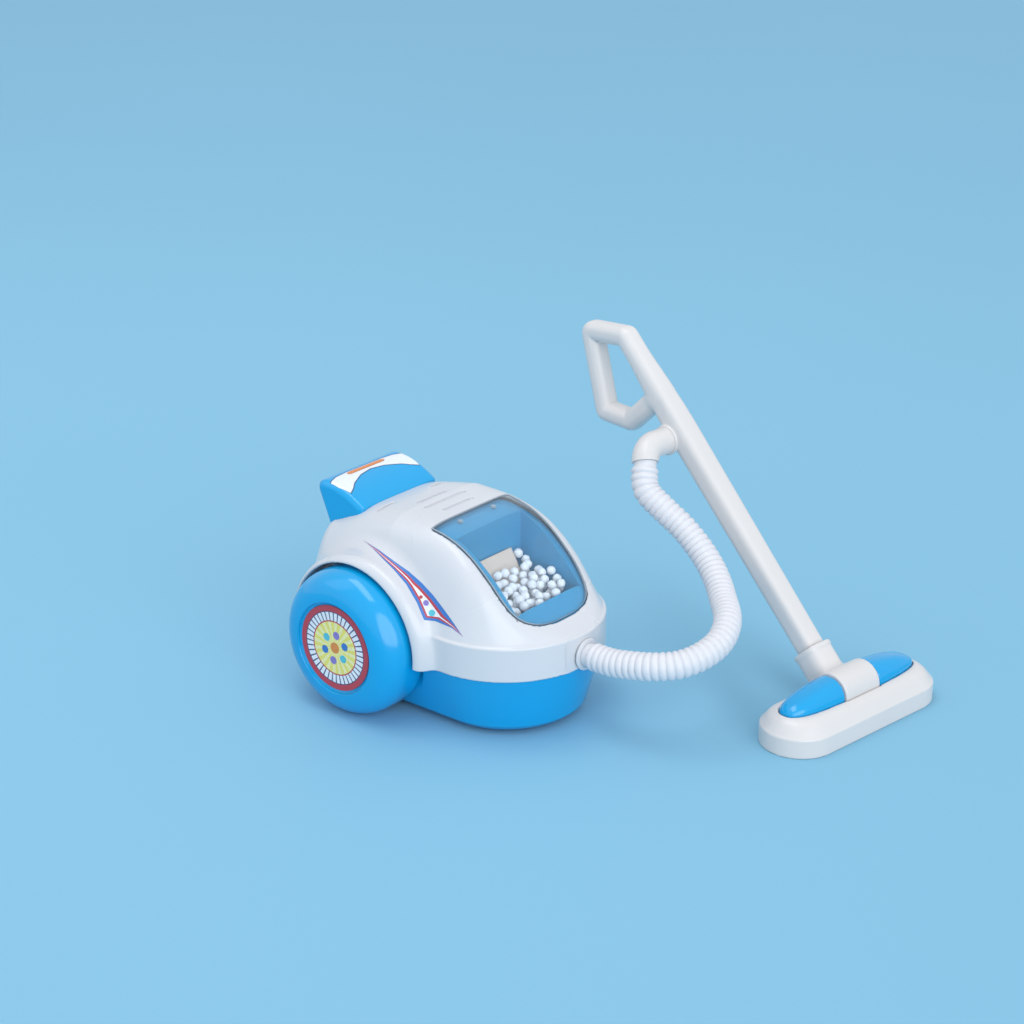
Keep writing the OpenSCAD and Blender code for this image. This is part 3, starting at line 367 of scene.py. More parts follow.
def as_distance(field, p):
    """A field's value over its slope, which is close to a distance near its surface."""
    slope = np.linalg.norm(gradient(field, p), axis=1)
    return np.clip(field(p) / np.maximum(slope, LEAST_SLOPE), -FAR, FAR)


def surface_net(field, xs, ys, zs):
    """Points and quads of the field's surface on a grid, one point in each cell that it crosses."""
    grid = np.stack(np.meshgrid(xs, ys, zs, indexing="ij"), -1)
    value = field(grid.reshape(-1, 3)).reshape(grid.shape[:3])
    cells = tuple(n - 1 for n in value.shape)
    total = np.zeros(cells + (3,))
    count = np.zeros(cells)
    crossings = []
    for axis in range(3):
        turn = (axis, (axis + 1) % 3, (axis + 2) % 3)
        back = tuple(np.argsort(turn))
        v = value.transpose(turn)
        g = grid.transpose(turn + (3,))
        crossed = (v[:-1] < 0) != (v[1:] < 0)
        share = np.where(crossed, v[:-1] / np.where(crossed, v[:-1] - v[1:], 1), 0)[..., None]
        place = np.where(crossed[..., None], g[:-1] + share * (g[1:] - g[:-1]), 0)
        b, c = crossed.shape[1] - 1, crossed.shape[2] - 1
        for i in (0, 1):
            for j in (0, 1):
                total += place[:, i:b + i, j:c + j].transpose(back + (3,))
                count += crossed[:, i:b + i, j:c + j].transpose(back)
        crossings.append((turn, crossed, v))
    used = count > 0
    index = np.full(cells, -1)
    index[used] = np.arange(used.sum())
    points = total[used] / count[used][:, None]
    quads = []
    for turn, crossed, v in crossings:
        at = index.transpose(turn)
        i, j, k = np.nonzero(crossed[:, 1:-1, 1:-1])
        ring = np.stack([at[i, j, k], at[i, j + 1, k], at[i, j + 1, k + 1], at[i, j, k + 1]], 1)
        outwards = v[i, j + 1, k + 1] < 0
        quads.append(np.where(outwards[:, None], ring, ring[:, ::-1]))
    return points, np.concatenate(quads)


RELAX_TURNS, DRAW_TURNS, DRAW_REACH = 3, 5, 0.4
NORMAL_SPAN, NORMAL_MATCH = 0.3, 0.85


def field_mesh(name, field, grid, material, matrix):
    """A field's surface as a smooth mesh, with its points and normals drawn onto the field itself."""
    points, quads = surface_net(field, *grid)
    reach = DRAW_REACH * max(np.diff(lines).max() for lines in grid)
    ends = np.concatenate([quads[:, [k, (k + 1) % 4]] for k in range(4)])
    ends = np.concatenate([ends, ends[:, ::-1]])
    count = np.maximum(np.bincount(ends[:, 0], minlength=len(points)), 1)[:, None]
    for turn in range(DRAW_TURNS):
        if turn < RELAX_TURNS:
            around = [np.bincount(ends[:, 0], points[ends[:, 1], k], len(points)) for k in range(3)]
            points = (points + np.stack(around, 1) / count) / 2
        slope = gradient(field, points)
        move = -(field(points) / np.maximum((slope ** 2).sum(1), LEAST_SLOPE))[:, None] * slope
        far = np.linalg.norm(move, axis=1)
        points = points + move * np.minimum(1, reach / np.maximum(far, TINY))[:, None]
    normal = unit_rows(gradient(field, points, NORMAL_SPAN))
    a, b, c, d = (points[quads[:, k]] for k in range(4))
    flat = np.zeros_like(points)
    for k in range(4):
        np.add.at(flat, quads[:, k], np.cross(c - a, d - b))
    flat = unit_rows(flat)
    sharp = (normal * flat).sum(1) < NORMAL_MATCH
    normal[sharp] = flat[sharp]
    mesh = mesh_of(name, points, quads, material, matrix)
    normal = unit_rows(normal @ (np.array(matrix.to_3x3()) / MM).T)
    mesh.normals_split_custom_set_from_vertices(normal.tolist())
    return mesh


def field_piece(name, field, grid, material, matrix, slot, node):
    mesh = field_mesh(name, field, grid, material, matrix)
    piece(mesh, body_of(node), slot, node)
    return mesh


def steps(low, high, step, *finer):
    """Grid lines from low to high, closer together in each finer (from, to, step) stretch."""
    lines = [low]
    while lines[-1] < high:
        near = [f[2] for f in finer if f[0] <= lines[-1] < f[1]]
        lines.append(lines[-1] + min([step] + near))
    return np.array(lines)


def ring_faces(rings, sides):
    """Quads between rings of points, with the last ring joined to the first."""
    return [(i * sides + k, i * sides + (k + 1) % sides, (i + 1) % rings * sides + (k + 1) % sides,
             (i + 1) % rings * sides + k) for i in range(rings) for k in range(sides)]


def lathe(name, profile, material, matrix, sides):
    """Turned piece: (radius, height) points about the Y axis, closed into a ring."""
    turns = [2 * pi * k / sides for k in range(sides)]
    points = [(r * cos(a), h, r * sin(a)) for r, h in profile for a in turns]
    return mesh_of(name, points, ring_faces(len(profile), sides), material, matrix)


def arc(centre, r, start, end, n):
    turns = [radians(start + (end - start) * i / n) for i in range(n + 1)]
    return [(centre[0] + r * cos(a), centre[1] + r * sin(a)) for a in turns]


# Ribbed hose, along the same route as its solid, in metres from the floor under the axle
HOSE_START = (0.09355, 0, 0.0363)
HOSE_ROUTE = [(0.116, 0.001, 0.0375), (0.1265, 0.0035, 0.039), (0.1355, 0.0095, 0.0405),
              (0.141, 0.0185, 0.043), (0.1425, 0.029, 0.046), (0.1395, 0.039, 0.049),
              (0.1335, 0.048, 0.0505), (0.126, 0.056, 0.052), (0.1185, 0.063, 0.0555),
              (0.110, 0.0685, 0.0605), (0.101, 0.071, 0.067), (0.092, 0.071, 0.074),
              (0.083, 0.0695, 0.0805)]
HOSE_RIBS, RIB_POINTS, RIB_DEPTH = 58, 10, 1.1
HOSE_CUFF, CUFF_BULGE = 0.016, 0.05
HOSE_SIDES, ELBOW_SIDES = 40, 48
HOSE_GAP = 0.05
BOSS_AT, BOSS_DROP, BOSS_FACE = 139.3, 6.2, 7
ELBOW_STRAIGHT, ELBOW_R, ELBOW_BEND, ELBOW_LEAN = 6.5, 10, 69, 27
ELBOW_STEPS = 12
CURVE_SAMPLES = 40
FIRST_SIDE = (0.3, -0.5, 0.8)


def on_wand(along, below):
    """A point of the wand's plane in the head's frame."""
    a = radians(WAND_TILT)
    below += WAND_DROP
    return Vector((PIVOT_X + along * cos(a) + below * sin(a), 0,
                   PIVOT_Z + along * sin(a) - below * cos(a)))


def elbow_line():
    """The elbow's middle line in the head's frame, and its last direction."""
    boss = on_wand(BOSS_AT, BOSS_DROP)
    lean, last = radians(ELBOW_LEAN), radians(ELBOW_BEND)
    out = Vector((sin(lean), 0, cos(lean)))
    across = Vector((0, 1, 0))
    start = boss + across * BOSS_FACE
    centre = start + across * ELBOW_STRAIGHT - out * ELBOW_R
    line = [start, start + across * ELBOW_STRAIGHT / 2]
    for i in range(ELBOW_STEPS + 1):
        a = last * i / ELBOW_STEPS
        line.append(centre + ELBOW_R * (cos(a) * out + sin(a) * across))
    return line, cos(last) * across - sin(last) * out


def evenly(p, n):
    """A line of points as n + 1 points at equal distances, and its length."""
    run = np.concatenate([[0], np.cumsum(np.linalg.norm(np.diff(p, axis=0), axis=1))])
    even = np.linspace(0, run[-1], n + 1)
    return np.stack([np.interp(even, run, column) for column in p.T], 1), run[-1]


def curve_points(through, n):
    """A smooth line through the points, spaced evenly, and its length."""
    p = np.array([tuple(q) for q in through])
    t = np.linspace(0, len(p) - 1, CURVE_SAMPLES * len(p))
    i = np.minimum(t.astype(int), len(p) - 2)
    k = (t - i)[:, None]
    a, b, c, d = p[np.maximum(i - 1, 0)], p[i], p[i + 1], p[np.minimum(i + 2, len(p) - 1)]
    q = b + 0.5 * k * (c - a + k * (2 * a - 5 * b + 4 * c - d + k * (3 * (b - c) + d - a)))
    return evenly(q, n)


def sweep(line, radii, bore, sides, first, last):
    """Points and quads of a round tube with a bore along the line, square at its ends."""
    way = np.gradient(line, axis=0)
    way[0], way[-1] = first, last
    way = unit_rows(way)
    turns = np.linspace(0, 2 * np.pi, sides, endpoint=False)[:, None]
    side = np.cross(way[0], FIRST_SIDE)
    spokes = []
    for w in way:
        side = side - w * side.dot(w)
        side /= np.linalg.norm(side)
        spokes.append(np.cos(turns) * side + np.sin(turns) * np.cross(w, side))
    rings = [at + r * spoke for at, r, spoke in zip(line, radii, spokes)]
    rings += [at + bore * spoke for at, spoke in zip(line[::-1], spokes[::-1])]
    return np.concatenate(rings), ring_faces(len(rings), sides)


def make_hose():
    here = Vector((axle.x, axle.y, 0))
    line, end_way = elbow_line()
    way = (head_frame.to_3x3() @ end_way).normalized()
    end = head_frame @ line[-1] + way * HOSE_GAP * MM
    start = here + Vector(HOSE_START)
    tube = 2 * HOSE_R * MM
    through = [start, start + Vector((tube, 0, 0))] + [here + Vector(p) for p in HOSE_ROUTE]
    through += [end + way * tube, end]
    points, length = curve_points(through, (HOSE_RIBS + 2) * RIB_POINTS)
    share = np.linspace(0, 1, len(points))
    phase = (share - HOSE_CUFF) / (1 - 2 * HOSE_CUFF) * HOSE_RIBS
    within = (share > HOSE_CUFF) & (share < 1 - HOSE_CUFF)
    rib = np.sqrt(np.maximum(0, 1 - (2 * (phase % 1) - 1) ** 2))
    radii = (HOSE_R - RIB_DEPTH * (1 - np.where(within, rib, CUFF_BULGE))) * MM
    verts, faces = sweep(points, radii, HOSE_BORE * MM, HOSE_SIDES, (1, 0, 0), -way)
    hose = link("ribbed_hose", mesh_of("ribbed_hose", verts, faces, hose_white))
    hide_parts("hose")
    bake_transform(hose)


make_hose()


# Fields of the canister's shells
def curve_table(shape, span):
    """Smooth curve through (position, value) points, sampled over the span."""
    at, value = np.array(shape, float).T
    wide, tall = np.pad(at, 1, "edge"), np.pad(value, 1, "edge")
    slope = (tall[2:] - tall[:-2]) / (wide[2:] - wide[:-2])
    i = np.clip(np.searchsorted(at, span, side="right") - 1, 0, len(at) - 2)
    d = at[i + 1] - at[i]
    k = (span - at[i]) / d
    return ((1 + 2 * k) * (1 - k) ** 2 * value[i] + k * (1 - k) ** 2 * d * slope[i]
            + k * k * (3 - 2 * k) * value[i + 1] - k * k * (1 - k) * d * slope[i + 1])


DOME_SAMPLE, DOME_LEAST, DOME_TRIM = 0.05, 0.2, 0.1
SIDE_MAX, RISE_MAX = 9, 3
dome_x = np.arange(BAND_TAIL + DOME_STEP, BAND_NOSE - DOME_STEP + 0.01, DOME_SAMPLE)
dome_share = np.where(dome_x >= DOME_CREST,
                      curve_table(FRONT_SHAPE, part(dome_x, DOME_CREST, dome_x[-1])),
                      curve_table(BACK_SHAPE, part(dome_x, DOME_CREST, dome_x[0])))
dome_rise = np.maximum((DOME_Z - BAND_TOP) * dome_share, DOME_LEAST)
nose_part = part(dome_x, FRONT_C, dome_x[-1])
tail_part = part(dome_x, REAR_C, dome_x[0])
dome_half = np.maximum((BAND_HALF - DOME_STEP) * np.sqrt(1 - nose_part ** 2)
                       * (1 - tail_part ** TAIL_POWER) ** (1 / TAIL_POWER), DOME_LEAST)


def dome_power(x):
    """Squareness of the dome's section, softer towards the tail."""
    share = part(x, SHOULDER_FROM, SHOULDER_TO)
    return TAIL_SHOULDER + (DOME_POWER - TAIL_SHOULDER) * share * share * (3 - 2 * share)


def dome_size(x):
    return np.interp(x, dome_x, dome_half), np.interp(x, dome_x, dome_rise)


def dome_side(y, half, up):
    return np.minimum(abs(y) / (half * (1 - (1 - DOME_FLAT) * up)), SIDE_MAX)


def dome_level(p):
    x, y, z = p.T
    half, rise = dome_size(x)
    up = np.clip((z - BAND_TOP) / rise, 0, RISE_MAX)
    return power_sum(dome_side(y, half, np.minimum(up, 1)), up, dome_power(x)) - 1


def dome(p):
    ends = between(p[:, 0], dome_x[0] + DOME_TRIM, dome_x[-1] - DOME_TRIM)
    return np.maximum(as_distance(dome_level, p), ends)


def plan_level(p):
    x, y, _ = p.T
    side = abs(y) / BAND_HALF
    ahead = np.maximum(x - FRONT_C, 0) / (BAND_NOSE - FRONT_C)
    behind = np.maximum(REAR_C - x, 0) / (REAR_C - BAND_TAIL)
    front = np.sqrt(side ** 2 + ahead ** 2)
    rear = power_sum(side, behind, TAIL_POWER)
    return np.where(x > (FRONT_C + REAR_C) / 2, front, rear) - 1


def wheel_space(p, r, inner):
    across = np.hypot(p[:, 0], p[:, 2] - AXLE_Z) - r
    return np.maximum(across, inner - abs(p[:, 1]))


WINDOW_CORNER = 1.2


def window_level(p):
    ahead = np.maximum(p[:, 0] - WINDOW_ROUND_X, 0) / (WINDOW_TIP - WINDOW_ROUND_X)
    return power_sum(abs(p[:, 1]) / WINDOW_HALF, ahead, WINDOW_POWER) - 1


def window_plan(p):
    """Distance in plan from the window's outline."""
    return rounded_max(as_distance(window_level, p), WINDOW_BACK - p[:, 0], WINDOW_CORNER)


HOOD_FOOT, HOOD_TOE_X, HOOD_TOE_Z = (-33.5, 66), -15, 72
HOOD_ROUND, HOOD_INNER_ROUND, HOOD_CEILING, HOOD_BITE = 3.2, 1.5, 90, 0.5


def hood_outline():
    """Side view of the rear hood as (x, z) points."""
    toe = (HOOD_TOE_X, BAND_TOP + np.interp(HOOD_TOE_X, dome_x, dome_rise) + 0.2)
    heel, nape, crown = (-42.2, HOOD_Z - 6.2), (-44.2, HOOD_Z - 0.5), (-38.5, HOOD_Z - 0.1)
    brow = (-27, HOOD_Z)

    def bend(a, b, c, n):
        t = np.linspace(0, 1, n + 1)[:, None]
        return (1 - t) ** 2 * np.array(a) + 2 * t * (1 - t) * np.array(b) + t * t * np.array(c)

    return np.concatenate([[HOOD_FOOT], bend(heel, nape, crown, 10),
                           bend(crown, brow, toe, 24)[1:], [(HOOD_TOE_X, HOOD_TOE_Z)]])


def outline_field(x, y, outline):
    """Distance from a closed outline, below zero inside it."""
    best = np.full(x.shape, 1e9)
    inside = np.zeros(x.shape, bool)
    for (ax, ay), (bx, by) in zip(outline, np.roll(outline, -1, axis=0)):
        ex, ey = bx - ax, by - ay
        t = np.clip(((x - ax) * ex + (y - ay) * ey) / (ex * ex + ey * ey), 0, 1)
        best = np.minimum(best, (x - ax - t * ex) ** 2 + (y - ay - t * ey) ** 2)
        if ay != by:
            inside ^= ((ay > y) != (by > y)) & (x < ax + (y - ay) * ex / ey)
    return np.where(inside, -1, 1) * np.sqrt(best)


hood_side = hood_outline()


def hood(p, inset=0, r=HOOD_ROUND):
    side = outline_field(p[:, 0], p[:, 2], hood_side) + inset
    return rounded_max(side, abs(p[:, 1]) - HOOD_HALF + inset, r)


def hood_field(p):
    hollow = np.maximum(hood(p, WALL, HOOD_INNER_ROUND), p[:, 2] - HOOD_CEILING)
    return cut(hood(p), hollow, r=0.4)


VENTS = [(4.7, 0, 20), (12, 0, 27), (19.7, 0, 20), (-7.3, 18, 11), (-7.3, -18, 11)]
VENT_W, VENT_DEPTH, VENT_ROUND = 2.2, 1.1, 0.35


def vents(p, skin):
    """Sunk slots in the dome, from (x, y, length) in plan."""
    best = np.full(len(p), FAR, float)
    for x, y, length in VENTS:
        along = np.maximum(abs(p[:, 1] - y) - (length - VENT_W) / 2, 0)
        best = np.minimum(best, np.hypot(p[:, 0] - x, along) - VENT_W / 2)
    return rounded_max(best, -skin - VENT_DEPTH, VENT_ROUND)


def fender(p):
    x, y, z = p.T
    across = np.minimum(np.hypot(x - FENDER_X, z - AXLE_Z) - FENDER_R,
                        np.hypot(x, z - AXLE_Z) - ARCH_R - FENDER_LEAST)
    return rounded_max(across, abs(y) - FENDER_Y, FENDER_ROUND)


FENDER_FILLET, BAND_FILLET, BAND_ROUND, ARCH_ROUND = 7, 0.9, 0.8, 1.1
WINDOW_GAP, INLET_HOLE_R, INLET_HOLE_FROM = 0.3, 5.6, 70


def upper_field(p):
    x, y, z = p.T
    skin = dome(p)
    band = rounded_max(as_distance(plan_level, p), z - BAND_TOP, BAND_ROUND)
    body = joined(joined(skin, fender(p), FENDER_FILLET), band, BAND_FILLET)
    body = cut(body, wheel_space(p, ARCH_R, WELL_Y), ARCH_ROUND)
    hollow = np.maximum(skin + WALL, -wheel_space(p, ARCH_R + WALL, WELL_Y - WALL))
    body = np.maximum(body, -hollow)
    opening = np.maximum(window_plan(p) - WINDOW_GAP, BAND_TOP + 1 - z)
    body = cut(body, opening, r=0.5)
    body = cut(body, hood(p) + HOOD_BITE, r=0.3)
    body = cut(body, vents(p, skin), VENT_ROUND)
    inlet = np.hypot(y, z - INLET_Z) - INLET_HOLE_R
    body = cut(body, np.maximum(inlet, INLET_HOLE_FROM - x), r=0.3)
    return rounded_max(body, SEAM_Z - z, r=0.5)


# Grids are closer where the shape has small steps: arches, vents and the window's ends
casing_grid = (steps(-46, 94.5, 1.05, (-46, 40, 0.8), (-18, 22, 0.62), (25.5, 28.5, 0.6),
                     (74, 83, 0.62)),
               steps(-53.5, 54, 0.86), steps(28.5, 91, 0.86, (44.5, 48, 0.5), (74, 91, 0.56)))
casing_mesh = field_piece("casing_top", upper_field, casing_grid, shell_white, canister_frame,
                          "white_plastic", "upper_casing")
hood_grid = (steps(-45.5, -13, 0.7), steps(-28, 28.5, 0.7), steps(64, 95, 0.7))
hood_mesh = field_piece("hood_shell", hood_field, hood_grid, gloss_blue, canister_frame,
                        "blue_plastic", "rear_hood")


# Clear window, laid over the dome as a curved sheet, its edge band grey with painted shade from the gap
# round it
RIM_W, RIM_SHARE = 0.6, 0.6
WINDOW_ROWS, WINDOW_COLUMNS = 30, 41
HALVINGS = 30


def dome_top(x, y):
    """Height of the dome's skin over points of its plan that lie ahead of the shoulder."""
    half, rise = dome_size(x)
    low, high = np.zeros_like(x), np.ones_like(x)
    for _ in range(HALVINGS):
        s = (low + high) / 2
        inside = dome_side(y, half, s) ** DOME_POWER + s ** DOME_POWER < 1
        low, high = np.where(inside, s, low), np.where(inside, high, s)
    return BAND_TOP + rise * low


def make_window():
    tip = WINDOW_TIP - WINDOW_ROUND_X
    straight = np.linspace(WINDOW_BACK + RIM_W, WINDOW_ROUND_X, WINDOW_ROWS)
    turn = np.sin(np.radians(np.linspace(0, 89, WINDOW_ROWS)[1:]))
    xs = np.concatenate([[WINDOW_BACK], straight, WINDOW_ROUND_X + tip * turn])
    ahead = np.maximum(xs - WINDOW_ROUND_X, 0) / tip
    half = WINDOW_HALF * (1 - ahead ** WINDOW_POWER) ** (1 / WINDOW_POWER)
    inner = np.maximum(half - RIM_W, half * RIM_SHARE)[:, None] * np.linspace(-1, 1, WINDOW_COLUMNS)
    y = np.concatenate([-half[:, None], inner, half[:, None]], 1)
    x = np.repeat(xs[:, None], y.shape[1], 1)
    skin = np.stack([x, y, dome_top(x, y)], -1)
    d = 0.05
    slope_x = (dome_top(x + d, y) - dome_top(x - d, y)) / (2 * d)
    slope_y = (dome_top(x, y + d) - dome_top(x, y - d)) / (2 * d)
    normal = np.stack([-slope_x, -slope_y, np.ones_like(x)], -1)
    normal /= np.linalg.norm(normal, axis=-1)[..., None]
    under = skin - normal * WINDOW_T
    n, m = x.shape
    points = np.concatenate([skin.reshape(-1, 3), under.reshape(-1, 3)])
    at = np.arange(n * m).reshape(n, m)
    quads = np.stack([at[:-1, :-1], at[1:, :-1], at[1:, 1:], at[:-1, 1:]], -1).reshape(-1, 4)
    edge = np.concatenate([at[:, 0], at[-1, 1:], at[-2::-1, -1], at[0, -2:0:-1]])
    after = np.roll(edge, -1)
    walls = np.stack([after, edge, edge + n * m, after + n * m], 1)
    faces = np.concatenate([quads, quads[:, ::-1] + n * m, walls])
    # Painted shade: the band round the sheet's edge and its walls take the grey, standing in for the
    # shadow in the gap
    rim = np.ones((n - 1, m - 1), int)
    rim[1:-2, 1:-1] = 0
    mesh = mesh_of("window_sheet", points, faces, window_clear, canister_frame)
    paint(mesh, [peg_grey_and_edge_shade], rim.ravel().tolist() * 2 + [1] * len(walls))
    edged_piece(mesh, 50, "clear_plastic", "window")


make_window()


# Loose foam beads, heaped in the pit clear of the flap
PIT_BACK, PIT_FRONT, PIT_HALF, PIT_Z = 37.5, 71.5, 22, 45
BEAD_R, BEAD_SPACING, BEAD_MARGIN = 2.5, 1.78, 0.3
BEAD_TRIES, BEAD_SEED = 12000, 7
HEAP_FRONT, HEAP_BACK, HEAP_LEAN = 57, 67, 1.5
FLAP_AT, FLAP_LOW, FLAP_HIGH = (37.9, 67.5), -8.5, 13.5
FLAP_L, FLAP_T, FLAP_TILT = 18.5, 1.2, 60


def flap_gap(x, y, z):
    """Distance of a point from the flap."""
    a = radians(FLAP_TILT)
    dx, dz = x - FLAP_AT[0], z - FLAP_AT[1]
    along = dx * cos(a) - dz * sin(a)
    off = dx * sin(a) + dz * cos(a)
    return hypot(max(-along, along - FLAP_L, 0), max(-off, off - FLAP_T, 0),
                      max(FLAP_LOW - y, y - FLAP_HIGH, 0))


def make_beads():
    chance = np.random.default_rng(BEAD_SEED)
    ball = bmesh.new()
    bmesh.ops.create_icosphere(ball, subdivisions=2, radius=1)
    unit = np.array([v.co[:] for v in ball.verts])
    tris = np.array([[v.index for v in f.verts] for f in ball.faces])
    ball.free()
    margin = BEAD_R + BEAD_MARGIN
    placed = []
    for _ in range(BEAD_TRIES):
        x = chance.uniform(PIT_BACK + margin, PIT_FRONT - margin)
        y = chance.uniform(-PIT_HALF + margin, PIT_HALF - margin)
        z = PIT_Z + BEAD_R + 0.1
        for bx, by, bz in placed:
            near = (BEAD_SPACING * BEAD_R) ** 2 - (x - bx) ** 2 - (y - by) ** 2
            if near > 0:
                z = max(z, bz + sqrt(near))
        share = (PIT_FRONT - x) / (PIT_FRONT - PIT_BACK)
        top = HEAP_FRONT + (HEAP_BACK - HEAP_FRONT) * share + HEAP_LEAN * y / PIT_HALF
        if z + BEAD_R < top and flap_gap(x, y, z) > BEAD_R + 0.2:
            placed.append((x, y, z))
    points = []
    faces = []
    for place in placed:
        waves = np.sin(unit @ chance.normal(0, 2.2, (3, 3)) + chance.uniform(0, 6, 3))
        wobble = 1 + 0.05 * waves.sum(1) / 2
        size = BEAD_R * 0.95 * chance.uniform(0.9, 1)
        faces.append(tris + len(points) * len(unit))
        points.append(np.array(place) + unit * (size * wobble / wobble.max())[:, None])
    mesh = mesh_of("loose_beads", np.concatenate(points), np.concatenate(faces), bead_foam,
                   canister_frame)
    piece(mesh, "canister", "foam", "foam_beads")


make_beads()


# Rear wheels and their printed hubs
WHEEL_R, WHEEL_IN, CREST_Y = 34, 40, 62.8
WHEEL_SIDES = 128
SHOULDER_R, RECESS_R = 12.3, 21.5
TREAD_ROUND, RECESS_ROUND = 1.5, 0.7
BOSS_R, HOLLOW_R, HOLLOW_Y = 6.5, 30.5, 52.5
HUB_Y, HUB_T, HUB_R = 61.5, 0.4, 20
AXLE_R, AXLE_END = 2.05, 59.1


def make_wheel(name, side, node):
    floor = HUB_Y - HUB_T
    profile = [(AXLE_R, WHEEL_IN), (BOSS_R - 0.2, WHEEL_IN), (BOSS_R, WHEEL_IN + 0.2),
               (BOSS_R, HOLLOW_Y - 0.2), (BOSS_R + 0.3, HOLLOW_Y), (HOLLOW_R - 0.3, HOLLOW_Y),
               (HOLLOW_R, HOLLOW_Y - 0.3), (HOLLOW_R, WHEEL_IN + 0.3), (HOLLOW_R + 0.3, WHEEL_IN)]
    profile += arc((WHEEL_R - TREAD_ROUND, WHEEL_IN + TREAD_ROUND), TREAD_ROUND, -90, 0, 6)
    profile += arc((WHEEL_R - SHOULDER_R, CREST_Y - SHOULDER_R), SHOULDER_R, 0, 90, 24)
    profile += arc((RECESS_R + RECESS_ROUND, CREST_Y - RECESS_ROUND), RECESS_ROUND, 90, 180, 6)
    profile += [(RECESS_R, floor + 0.2), (RECESS_R - 0.2, floor), (0.05, floor), (0.05, AXLE_END),
                (AXLE_R, AXLE_END)]
    if side < 0:
        profile = [(r, -h) for r, h in reversed(profile)]
    mesh = lathe(name, profile, gloss_blue, axle_frame, WHEEL_SIDES)
    edged_piece(mesh, 50, "blue_plastic", node)


HUB_SECTORS = 160
HUB_RINGS = [(4, 0, "sun"), (8, 0, "sun"), (12.4, 0, "sun"), (13, 0, "red"), (16.9, 0, "ticks"),
             (17.3, 0, "navy"), (HUB_R, 0, "red"), (HUB_R, HUB_T, "red")]
HUB_INKS = ["yellow", "pale", "red", "white", "navy", "orange", "blue", "violet", "teal"]
DOT_RING, DOT_R, DOT_FIRST = 6.3, 1.9, 20
DOT_TURNS = [radians(60 * i + DOT_FIRST) for i in range(6)]
HUB_DOTS = [(0, 0, 2.6, "orange")] + [
    (DOT_RING * cos(a), DOT_RING * sin(a), DOT_R, ink)
    for a, ink in zip(DOT_TURNS, ("blue", "violet", "teal") * 2)]
DOT_RISE = 0.03


def make_hub(name, side, node):
    """Hub print: rays, a tick ring and coloured dots, on a thin disc."""
    turns = np.linspace(0, 2 * np.pi, HUB_SECTORS, endpoint=False)
    points = [(0, HUB_Y, 0)]
    faces = []
    ink = []

    def ring(r, y, x=0, z=0, every=1):
        points.extend((x + r * cos(a), y, z + r * sin(a)) for a in turns[::every])
        return len(points) - len(turns[::every])

    for r, depth, kind in HUB_RINGS:
        first = ring(r, HUB_Y - depth)
        for k in range(HUB_SECTORS):
            n = (k + 1) % HUB_SECTORS
            if first == 1:
                faces.append((0, first + n, first + k))
            else:
                faces.append((first - HUB_SECTORS + k, first - HUB_SECTORS + n, first + n, first + k))
            sun = "pale" if k // 4 % 2 else "yellow"
            tick = "navy" if k % 4 == 0 else "white"
            ink.append({"sun": sun, "ticks": tick}.get(kind, kind))
    faces.append(tuple(range(first, len(points))))
    ink.append("white")
    for x, z, r, colour in HUB_DOTS:
        dot = ring(r, HUB_Y + DOT_RISE, x, z, every=4)
        faces.append(tuple(reversed(range(dot, len(points)))))
        ink.append(colour)
    if side < 0:
        points = [(x, -y, z) for x, y, z in points]
        faces = [tuple(reversed(f)) for f in faces]
    mesh = mesh_of(name, points, faces, prints[HUB_INKS[0]], axle_frame, False)
    paint(mesh, [prints[colour] for colour in HUB_INKS[1:]], [HUB_INKS.index(i) for i in ink])
    piece(mesh, body_of(node), "hub_print", node)


make_wheel("wheel_rim_right", -1, "wheel_right")
make_wheel("wheel_rim_left", 1, "wheel_left")
make_hub("hub_print_right", -1, "hub_disc_right")
make_hub("hub_print_left", 1, "hub_disc_left")


# Stickers, laid on the shells as thin films
FILM_RISE = 0.06
FILM_STEPS, DOT_STEPS, FILM_ROWS = 90, 12, 6
BANDS_WIDEST = 0.9


def film(name, edge_a, edge_b, bands, tree, rays, rise, mirrored=False, count=FILM_STEPS):
    """A film between two lines, with bands as (width from a, width from b, material) from outside in."""
    a, b = (evenly(np.array(edge, float), count)[0] for edge in (edge_a, edge_b))
    width = np.linalg.norm(b - a, axis=1)
    total = sum(band[0] + band[1] for band in bands)
    fit = np.minimum(1, width * BANDS_WIDEST / max(total, TINY)) / np.maximum(width, 1e-6)
    front, back = [np.zeros_like(width)], [np.ones_like(width)]
    for from_a, from_b, _ in bands[:-1]:
        front.append(front[-1] + from_a * fit)
        back.append(back[-1] - from_b * fit)
    core = [front[-1] + (back[-1] - front[-1]) * k / FILM_ROWS for k in range(1, FILM_ROWS)]
    levels = front + core + back[::-1]
    outer = list(range(len(bands) - 1))
    inks = outer + [len(bands) - 1] * FILM_ROWS + outer[::-1]
    points = []
    for level in levels:
        for share, pa, pb in zip(level, a, b):
            start, way = rays(*(pa + (pb - pa) * share))
            hit, normal, _, _ = tree.ray_cast(start, way)
            normal = normal if normal.dot(way) < 0 else -normal
            points.append(hit + normal * rise * MM)
    if mirrored:
        points = [Vector((p.x, 2 * axle.y - p.y, p.z)) for p in points]
    rows = [j * (count + 1) + i for j in range(len(inks)) for i in range(count)]
    faces = [(k, k + 1, k + count + 2, k + count + 1) for k in rows]
    mesh = mesh_of(name, points, faces, bands[0][2])
    paint(mesh, [band[2] for band in bands[1:]], np.repeat(inks, count).tolist())
    piece(mesh, "canister", "hub_print")


